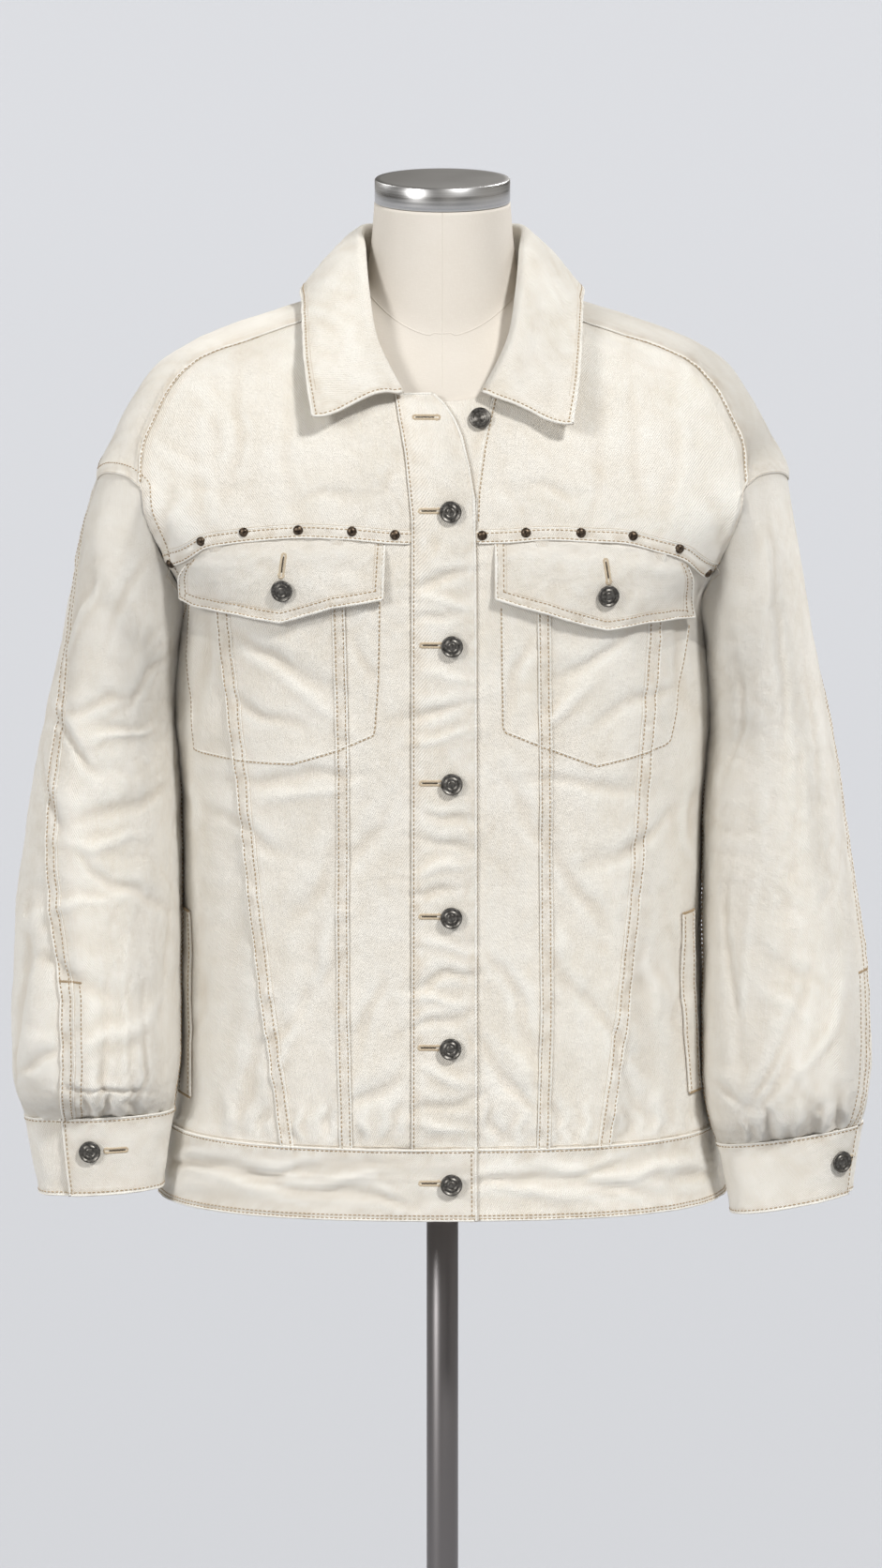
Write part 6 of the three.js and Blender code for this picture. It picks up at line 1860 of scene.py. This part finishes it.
class JACKET_OT_stitching(bpy.types.Operator):
    """Stitch the seams, edges, pocket bags and buttonholes"""

    bl_idname = "jacket.stitching"
    bl_label = "Stitching"

    def execute(self, context):
        self.front()
        self.back_and_sleeves()
        self.edges()
        self.holes()
        return {"FINISHED"}

    def sew(self, threads, at, path, on, **options):
        size = sizes()
        threads.row(at, np.asarray(path, float), on, pitch=size.stitch_pitch / MM,
                    length=size.stitch_length / MM, radius=size.thread_radius / MM, **options)

    def front(self):
        threads = Threads("front_stitching")
        for side in "LR":
            tag = TAG[side]
            front = front_pieces(tag)
            for k in (1, 2):
                for away in (-3.2, 3.2):
                    at = seam_at(side, k, away)
                    z = np.linspace(744, 1190, 90)
                    self.sew(threads, body_at, pair(*front_spot(at(z), z)), [f"middle_front_{tag}"])
            limits = np.abs(YOKE_SEAM[side][:, 0]).max()
            sign = -1 if side == "L" else 1
            near = 24.5 if side == "L" else 28.0
            x = sign * np.linspace(near, limits + 9, 80)
            for lift in (0.4, 7.0):
                path = yoke_spot(side, x)
                path[:, 1] += lift / 33
                self.sew(threads, body_at, path, [f"front_yoke_{tag}"])
            for bag in BAGS[side]:
                self.sew(threads, body_at, bag_path(bag), front)
            outer, inner = welt_spots(side)
            for share in (0.14, 0.86):
                line = outer * (1 - share) + inner * share
                self.sew(threads, body_at, welt_path(line), [f"pocket_welt_{tag}"])
            for end in (0, 2):
                path = np.linspace(outer[end], inner[end], 20)
                self.bartack(threads, body_at, path, front + [f"pocket_welt_{tag}"])
        self.sew(threads, body_at, strip_path(PLACKET_INNER, 744, 1333, 160, 1.6), ["placket"])
        self.sew(threads, body_at, strip_path(UNDERLAP_EDGE, 1240, 1332, 50, 1.6),
                 ["front_yoke_right", "underlap"])
        finished(threads.build(), "tan_thread")

    def back_and_sleeves(self):
        threads = Threads("shoulder_and_sleeve_stitching")
        bodies = ["back_yoke", "back_panel"]
        share = np.linspace(0, 1, 120)
        for lift in (0.6, 7.4):
            path = back_seam(share)
            path[:, 1] += lift / 33
            self.sew(threads, body_at, path, ["back_yoke"])
        for side in "LR":
            tag = TAG[side]
            added = 360 if side == "L" else 0
            seam = shoulder_edge(side, added)(np.linspace(0.01, 0.985, 90))
            inward = 1 if side == "R" else -1
            for away in (1.6, 7.4):
                self.sew(threads, body_at, shifted(body_at, seam, inward * away), ["back_yoke"])
            turn = np.linspace(-180, 180, 200)
            u, v = armhole_spot(side, turn)
            hole = np.stack([u, v], -1)
            near = [f"side_front_{tag}", f"front_yoke_{tag}"] + bodies
            for away in (2.2, 8.4):
                for distance in (away, -away):
                    path = shifted(body_at, hole, distance)
                    if np.abs(body_base(path[100:101, 0], path[100:101, 1])[0, 0]) < np.abs(
                            body_base(hole[100:101, 0], hole[100:101, 1])[0, 0]):
                        break
                self.sew(threads, body_at, path, near)
            at = sleeve_at(side)
            levels = np.linspace(0.15, SLEEVE_LAST - 0.05, 150)
            for away in (-1.5, 4.2):
                self.sew(threads, at, pair(sleeve_seam(side, levels) + away, levels),
                         [f"upper_sleeve_{tag}", f"under_sleeve_{tag}"])
            levels = np.linspace(0.3, SLEEVE_LAST - 0.05, 150)
            for away in (-1.6, -6.0):
                self.sew(threads, at, pair(180.0 + away, levels), [f"upper_sleeve_{tag}"])
            vent = np.linspace(7.8, 10.95, 40)
            self.sew(threads, at, pair(sleeve_seam(side, vent) + 11.5, vent), [f"upper_sleeve_{tag}"])
            top = sleeve_seam(side, 7.8) + np.linspace(-4.0, 13.0, 24)
            self.bartack(threads, at, pair(top, 7.8), [f"upper_sleeve_{tag}", f"under_sleeve_{tag}"], 2.6)
            t = np.linspace(0.02, 0.8, 90)
            line = front_degrees(side, 0.0)
            for away in (1.6, 7.0):
                spots = pair(line + (away / 2.6 if side == "L" else -away / 2.6), 1 + t * 4.9)
                self.sew(threads, body_at, spots, [f"side_front_{tag}"])
        finished(threads.build(), "tan_thread")

    def edges(self):
        threads = Threads("edge_stitching")
        _, end = band_spots(20.0)
        at = band_at(end)
        for v in (0.055, 0.12, 0.975):
            self.sew(threads, at, pair(np.linspace(end - 359, end - 0.9, 400), v), ["hem_band"])
        self.sew(threads, at, pair(end - 1.6, np.linspace(0.03, 1.0, 30)), ["hem_band"])
        for side in "LR":
            tag = TAG[side]
            cuff, over = cuff_at(side), CUFF_OVER[side]
            for share in (0.05, 0.93):
                self.sew(threads, cuff, pair(np.linspace(over - 358, over, 200), share), [f"cuff_{tag}"])
            self.sew(threads, cuff, pair(over - 357.0, np.linspace(0.03, 0.97, 30)), [f"cuff_{tag}"])
            flap = flap_at(side)
            s = np.linspace(0.0, 1, 80)
            for inset in (1.8, 7.4):
                across, up = inset / 165, inset / 55
                self.sew(threads, flap, pair(across, np.linspace(up * 1.1, 0.97, 30)), [f"pocket_flap_{tag}"])
                self.sew(threads, flap, pair(1 - across, np.linspace(up * 1.4, 0.97, 30)),
                         [f"pocket_flap_{tag}"])
                line = pair(s, inset * 1.05 / flap_height(side, s))
                self.sew(threads, flap, line[(s > across) & (s < 1 - across)], [f"pocket_flap_{tag}"])
        station = np.linspace(-5.91, 5.91, 240)
        self.sew(threads, collar_at, pair(station, 6.72), ["collar"])
        for end_station in (-5.9, 5.9):
            self.sew(threads, collar_at, pair(end_station, np.linspace(3.3, 6.72, 60)), ["collar"])
        finished(threads.build(), "tan_thread")

    def bartack(self, threads, at, path, on, width=2.2):
        threads.row(at, np.asarray(path, float), on, pitch=0.75, length=width, radius=0.36, across=True)

    def buttonhole(self, threads, at, path, on, half=1.5):
        """Close stitches round a slot, with a round end at the start of the path, and a near-black row of
        painted shade in the slot.
        """
        for away in (half, -half):
            threads.row(at, shifted(at, path, away), on, pitch=0.8, length=2.1, radius=0.5, across=True)
        for i in (0, -1):
            p = at(path[i:i + 1 or None, 0][:1], path[i:i + 1 or None, 1][:1], 0)[0]
            q = at(path[i:i + 1 or None, 0][:1], path[i:i + 1 or None, 1][:1], 1)[0]
            normal = unit(q - p)
            line = at(path[:, 0], path[:, 1], 0)
            run = unit(line[0] - line[1]) if i == 0 else unit(line[-1] - line[-2])
            side = np.cross(normal, run)
            reach = 2.0 if i == 0 else half
            angles = np.radians(np.linspace(-125, 125, 13) if i == 0 else np.linspace(-80, 80, 7))
            ring = p + (np.cos(angles)[:, None] * run + np.sin(angles)[:, None] * side) * reach
            threads.line(ring, np.repeat(normal[None], len(ring), 0), on, 2.0, 0.4, True)
        # Painted shade in the slot: a near-black row of stitches
        threads.row(at, path[2:-1], on, pitch=1.5, length=2.4, radius=0.5, dark=1.0)

    def holes(self):
        threads = Threads("buttonhole_stitching_and_painted_slot_shade")
        for i, (x, z) in enumerate(FRONT_BUTTONS):
            on = ["hem_band"] if i == len(FRONT_BUTTONS) - 1 else ["placket"]
            reach = (-4.0, -21.5) if i == 0 else (x - 9.5, x - 23.5)
            xs = np.linspace(*reach, 12)
            self.buttonhole(threads, body_at, pair(*front_spot(xs, np.full(12, z + 0.6))), on)
        for side in "LR":
            tag = TAG[side]
            x, z = FLAP_BUTTONS[side]
            s = flap_spot(side, x, z + 18)[0]
            slot = pair(s, np.linspace(0.56, 0.8, 10))
            self.buttonhole(threads, flap_at(side), slot, [f"pocket_flap_{tag}"])
            turn, share = CUFF_BUTTONS[side]
            ahead = 1 if side == "L" else -1
            turns = np.linspace(turn + ahead * 14, turn + ahead * 30, 12)
            self.buttonhole(threads, cuff_at(side), pair(turns, share), [f"cuff_{tag}"])
        finished(threads.build(), "buttonhole_thread_and_painted_slot_shade")


class JACKET_OT_folds(bpy.types.Operator):
    """Roll the folded edges of the seams, flaps, bands and collar, with thin painted shadow lines beside them
    """

    bl_idname = "jacket.folds"
    bl_label = "Folded edges"

    def execute(self, context):
        self.threads = Threads("folded_edges_and_painted_shadow_lines")
        self.panels()
        self.upper()
        self.bands()
        finished(self.threads.build(), "ecru_denim")
        return {"FINISHED"}

    def edge(self, at, path, on, inside=0.0, out=1.1, below=None, radius=0.8):
        """A roll on the edge of a piece, rubbed pale with a painted highlight, and a thin painted shadow line
        on the cloth next to it.
        """
        path = np.asarray(path, float)
        roll = shifted(at, path, inside) if inside else path
        self.threads.fold(at, roll, on, radius, WEAR_AND_HIGHLIGHT)
        if out:
            self.threads.fold(at, shifted(at, path, out), below or on, 0.42, PAINTED_SHADOW_LINE, 0.55)

    def panels(self):
        for side in "LR":
            tag = TAG[side]
            front = front_pieces(tag)
            sign = 1 if side == "R" else -1
            for k, away in ((1, LAP), (2, -LAP)):
                for reach, radius in ((away * 0.93, 0.85), (-away * 1.1, 0.55)):
                    at = seam_at(side, k, reach)
                    z = np.linspace(744.5, 1190, 90)
                    way = math.copysign(1, reach) * -sign
                    self.edge(body_at, pair(*front_spot(at(z), z)), front, 0, way * 1.15, radius=radius)
            for bag in BAGS[side]:
                self.edge(body_at, bag_path(bag), front, 1.2, -0.7, radius=0.55)
            for line, way in zip(welt_spots(side), (sign, -sign)):
                self.edge(body_at, welt_path(line), [f"pocket_welt_{tag}"], way * 0.5, -way * 1.4, front)
        for on, rows, low, high, count, inside, out, below, radius in (
                ("placket", PLACKET_EDGE, 744, 1333, 160, 0.7, -1.2,
                 ["underlap", "centre_front_right", "front_yoke_right"], 0.95),
                ("placket", PLACKET_INNER, 744, 1333, 160, -0.6, 0.9,
                 ["centre_front_left", "front_yoke_left"], 0.7),
                ("underlap", UNDERLAP_EDGE, 1240, 1332, 50, 0.6, -1.0, ["front_yoke_right"], 0.7)):
            self.edge(body_at, strip_path(rows, low, high, count), [on], inside, out, below, radius)
        for name, rows in (("placket", PLACKET_EDGE), ("underlap", UNDERLAP_EDGE)):
            x = np.linspace(PLACKET_INNER[-1, 1] + 1.0, rows[-1, 1] - 1.0, 30)
            self.edge(body_at, pair(*front_spot(x, 1333.0 + 0 * x)), [name], 0, 0, radius=0.9)

    def upper(self):
        for side in "LR":
            tag = TAG[side]
            sign = -1 if side == "L" else 1
            x = sign * np.linspace(25.5, YOKE_REACH - 1, 90)
            path = yoke_spot(side, x)
            path[:, 1] -= 0.7 / 33
            under = front_pieces(tag, "pocket_flap")
            self.edge(body_at, path, [f"front_yoke_{tag}"], 0, -sign * 1.3, under, 0.85)
            path = yoke_spot(side, x)
            path[:, 1] += 8.8 / 33
            self.edge(body_at, path, [f"front_yoke_{tag}"], 0, sign * 1.0, radius=0.5)
            added = 360 if side == "L" else 0
            seam = shoulder_edge(side, added)(np.linspace(0.01, 0.985, 90))
            below = [f"front_yoke_{tag}", "back_yoke"]
            self.edge(body_at, seam, ["back_yoke"], sign * 0.7, -sign * 1.0, below, 0.9)
            self.edge(body_at, shifted(body_at, seam, sign * 9.2), ["back_yoke"], 0, sign * 1.0, radius=0.55)
            turn = np.linspace(-178, 178, 240)
            hole = np.stack(armhole_spot(side, turn), -1)
            near = [f"side_front_{tag}", f"front_yoke_{tag}", "back_yoke", "back_panel"]
            sleeves = [f"upper_sleeve_{tag}", f"under_sleeve_{tag}"]
            way = self.inward(hole)
            self.edge(body_at, hole, near, way * 0.8, -way * 1.1, near + sleeves, 0.95)
            self.edge(body_at, shifted(body_at, hole, way * 10.2), near, 0, way * 1.0, radius=0.55)
            at = sleeve_at(side)
            levels = np.linspace(0.15, SLEEVE_LAST - 0.05, 150)
            for away, radius in ((-2.8, 0.85), (6.2, 0.5)):
                path = pair(sleeve_seam(side, levels) + away, levels)
                self.edge(at, path, sleeves, 0, math.copysign(1.1, away) * sign, radius=radius)
        share = np.linspace(0, 1, 120)
        for lift, out in ((0.0, 1), (9.2, -1)):
            path = back_seam(share)
            path[:, 1] += lift / 33
            self.edge(body_at, path, ["back_yoke", "back_panel"], 0, out * 1.2, radius=0.8)

    @staticmethod
    def inward(hole):
        """Which way from the armhole the middle of the jacket lies: 1 or -1."""
        moved = shifted(body_at, hole, 3.0)[120]
        return 1 if abs(body_base(*moved)[0]) < abs(body_base(*hole[120])[0]) else -1

    def bands(self):
        # Rolled edges rubbed pale with a painted highlight, and thin painted shadow lines beside some of them
        _, end = band_spots(20.0)
        at = band_at(end)
        around = np.linspace(end - 359, end - 0.9, 400)
        panels = ["back_panel"] + [f"{n}_{TAG[side]}" for n in ("side_front", "middle_front", "centre_front")
                                   for side in "LR"] + ["placket", "underlap"]
        self.threads.fold(at, pair(around, 1.012), ["hem_band"], 0.9, WEAR_AND_HIGHLIGHT)
        # Thin painted shadow line on the panels just above the hem band
        self.threads.fold(body_at, pair(around, 1.07), panels, 0.5, PAINTED_SHADOW_LINE, 0.5)
        self.threads.fold(at, pair(around, 0.018), ["hem_band"], 0.9, WEAR_AND_HIGHLIGHT)
        self.threads.fold(at, pair(end - 0.35, np.linspace(0.02, 1.0, 30)), ["hem_band"], 0.9, WEAR_AND_HIGHLIGHT)
        for side in "LR":
            tag = TAG[side]
            cuff, over = cuff_at(side), CUFF_OVER[side]
            turn = np.linspace(over - 358, over, 200)
            for share in (-0.01, 0.985):
                self.threads.fold(cuff, pair(turn, share), [f"cuff_{tag}"], 0.9, WEAR_AND_HIGHLIGHT)
            up = pair(over - 359.2, np.linspace(0.02, 0.98, 30))
            self.threads.fold(cuff, up, [f"cuff_{tag}"], 0.9, WEAR_AND_HIGHLIGHT)
            flap, on = flap_at(side), [f"pocket_flap_{tag}"]
            s = np.linspace(0.006, 0.994, 90)
            self.threads.fold(flap, pair(s, 0.016), on, 1.15, WEAR_AND_HIGHLIGHT)
            # Thin painted shadow lines beside the flap's rolled bottom and side edges
            self.threads.fold(flap, pair(s, 9.4 / flap_height(side, s))[8:-8], on, 0.4, PAINTED_SHADOW_LINE, 0.5)
            for share, inset in ((0.006, 0.06), (0.994, 0.94)):
                self.threads.fold(flap, pair(share, np.linspace(0.02, 0.97, 30)), on, 1.1, WEAR_AND_HIGHLIGHT)
                self.threads.fold(flap, pair(inset, np.linspace(0.2, 0.97, 30)), on, 0.4, PAINTED_SHADOW_LINE, 0.5)
        station = np.linspace(-5.97, 5.97, 240)
        self.threads.fold(collar_at, pair(station, 6.95), ["collar"], 1.05, WEAR_AND_HIGHLIGHT)
        # Thin painted shadow line beside the collar's rolled edge
        self.threads.fold(collar_at, pair(station[12:-12], 6.52), ["collar"], 0.4, PAINTED_SHADOW_LINE, 0.5)
        for station in (-5.975, 5.975):
            self.threads.fold(collar_at, pair(station, np.linspace(3.2, 6.95, 60)), ["collar"], 1.05, WEAR_AND_HIGHLIGHT)


class JACKET_OT_studio(bpy.types.Operator):
    """Set up the floor, the light and the camera"""

    bl_idname = "jacket.studio"
    bl_label = "Studio"

    def execute(self, context):
        points, faces = lathe([[0.0, 0.0], [17000.0, 0.0]], 96)
        floor = mesh_object("studio_floor", points + [0, 0, -0.5], faces)
        floor.data.materials.append(finish_named("pale_floor"))
        world = bpy.data.worlds.new("soft_room")
        world.use_nodes = True
        shade = world.node_tree.nodes["Background"]
        shade.inputs[0].default_value = (1.0, 0.955, 0.89, 1)
        # Lighter and darker upright bands of the room, which the metal shows
        kinds = ("TexCoord", "SeparateXYZ", "Math", "Math", "MapRange")
        nodes = [world.node_tree.nodes.new(f"ShaderNode{kind}") for kind in kinds]
        direction, parts, scale, wave, strength = nodes
        scale.operation, wave.operation = "MULTIPLY", "SINE"
        scale.inputs[1].default_value = 8.0
        for k, value in enumerate((-1.0, 1.0, 0.13, 0.42), start=1):
            strength.inputs[k].default_value = value
        world.node_tree.links.new(direction.outputs["Generated"], parts.inputs[0])
        for first, second in zip(nodes[1:], nodes[2:]):
            world.node_tree.links.new(first.outputs[0], second.inputs[0])
        world.node_tree.links.new(strength.outputs[0], shade.inputs[1])
        context.scene.world = world
        context.scene.view_settings.view_transform = "Standard"
        # Where each soft light comes from, how far its shadow edge spreads in degrees, and its strength
        for name, place, spread, energy in (
                ("key_light", (0.5, -0.66, 0.86), 8, 2.4), ("fill_light", (-0.8, -0.7, 0.45), 16, 1.45),
                ("back_light", (0.6, 0.8, 0.7), 14, 1.5), ("back_fill_light", (-0.8, 0.5, 0.5), 30, 0.6)):
            data = bpy.data.lights.new(name, "SUN")
            data.angle = math.radians(spread)
            data.energy = energy
            light = bpy.data.objects.new(name, data)
            light.rotation_euler = Vector(place).to_track_quat("Z", "Y").to_euler()
            context.scene.collection.objects.link(light)
        size = sizes()
        data = bpy.data.cameras.new("studio_camera")
        data.sensor_width = 36
        data.lens = 36 * size.camera_distance / size.view_height
        data.clip_start = 1
        data.clip_end = 200
        camera = bpy.data.objects.new("studio_camera", data)
        aim = Vector((-0.0011, 0, 1.0099))
        away = Vector((0, -math.cos(size.camera_tilt), math.sin(size.camera_tilt)))
        camera.location = aim + away * size.camera_distance
        camera.rotation_euler = (-away).to_track_quat("-Z", "Y").to_euler()
        context.scene.collection.objects.link(camera)
        context.scene.camera = camera
        return {"FINISHED"}


class JACKET_PT_panel(bpy.types.Panel):
    """Lists the sizes, colours and pieces of the jacket"""

    bl_label = "Denim jacket"
    bl_idname = "JACKET_PT_panel"
    bl_space_type = "VIEW_3D"
    bl_region_type = "UI"
    bl_category = "Jacket"

    def draw(self, context):
        layout = self.layout
        for group in (context.scene.jacket_sizes, context.scene.jacket_finish):
            box = layout.box()
            for key in group.bl_rna.properties.keys():
                if key not in ("rna_type", "name"):
                    box.prop(group, key)
        for operator in OPERATORS:
            layout.operator(operator.bl_idname)


OPERATORS = (JACKET_OT_stand, JACKET_OT_body, JACKET_OT_sleeves, JACKET_OT_collar, JACKET_OT_pockets,
             JACKET_OT_trims, JACKET_OT_folds, JACKET_OT_stitching, JACKET_OT_studio)
CLASSES = (JacketSizes, JacketFinish, *OPERATORS, JACKET_PT_panel)


def register():
    for cls in CLASSES:
        bpy.utils.register_class(cls)
    bpy.types.Scene.jacket_sizes = PointerProperty(type=JacketSizes)
    bpy.types.Scene.jacket_finish = PointerProperty(type=JacketFinish)


def unregister():
    del bpy.types.Scene.jacket_finish
    del bpy.types.Scene.jacket_sizes
    for cls in reversed(CLASSES):
        bpy.utils.unregister_class(cls)


def main():
    register()
    bpy.ops.jacket.stand()
    bpy.ops.jacket.body()
    bpy.ops.jacket.sleeves()
    bpy.ops.jacket.collar()
    bpy.ops.jacket.pockets()
    bpy.ops.jacket.trims()
    bpy.ops.jacket.folds()
    bpy.ops.jacket.stitching()
    bpy.ops.jacket.studio()


if __name__ == "__main__":
    main()
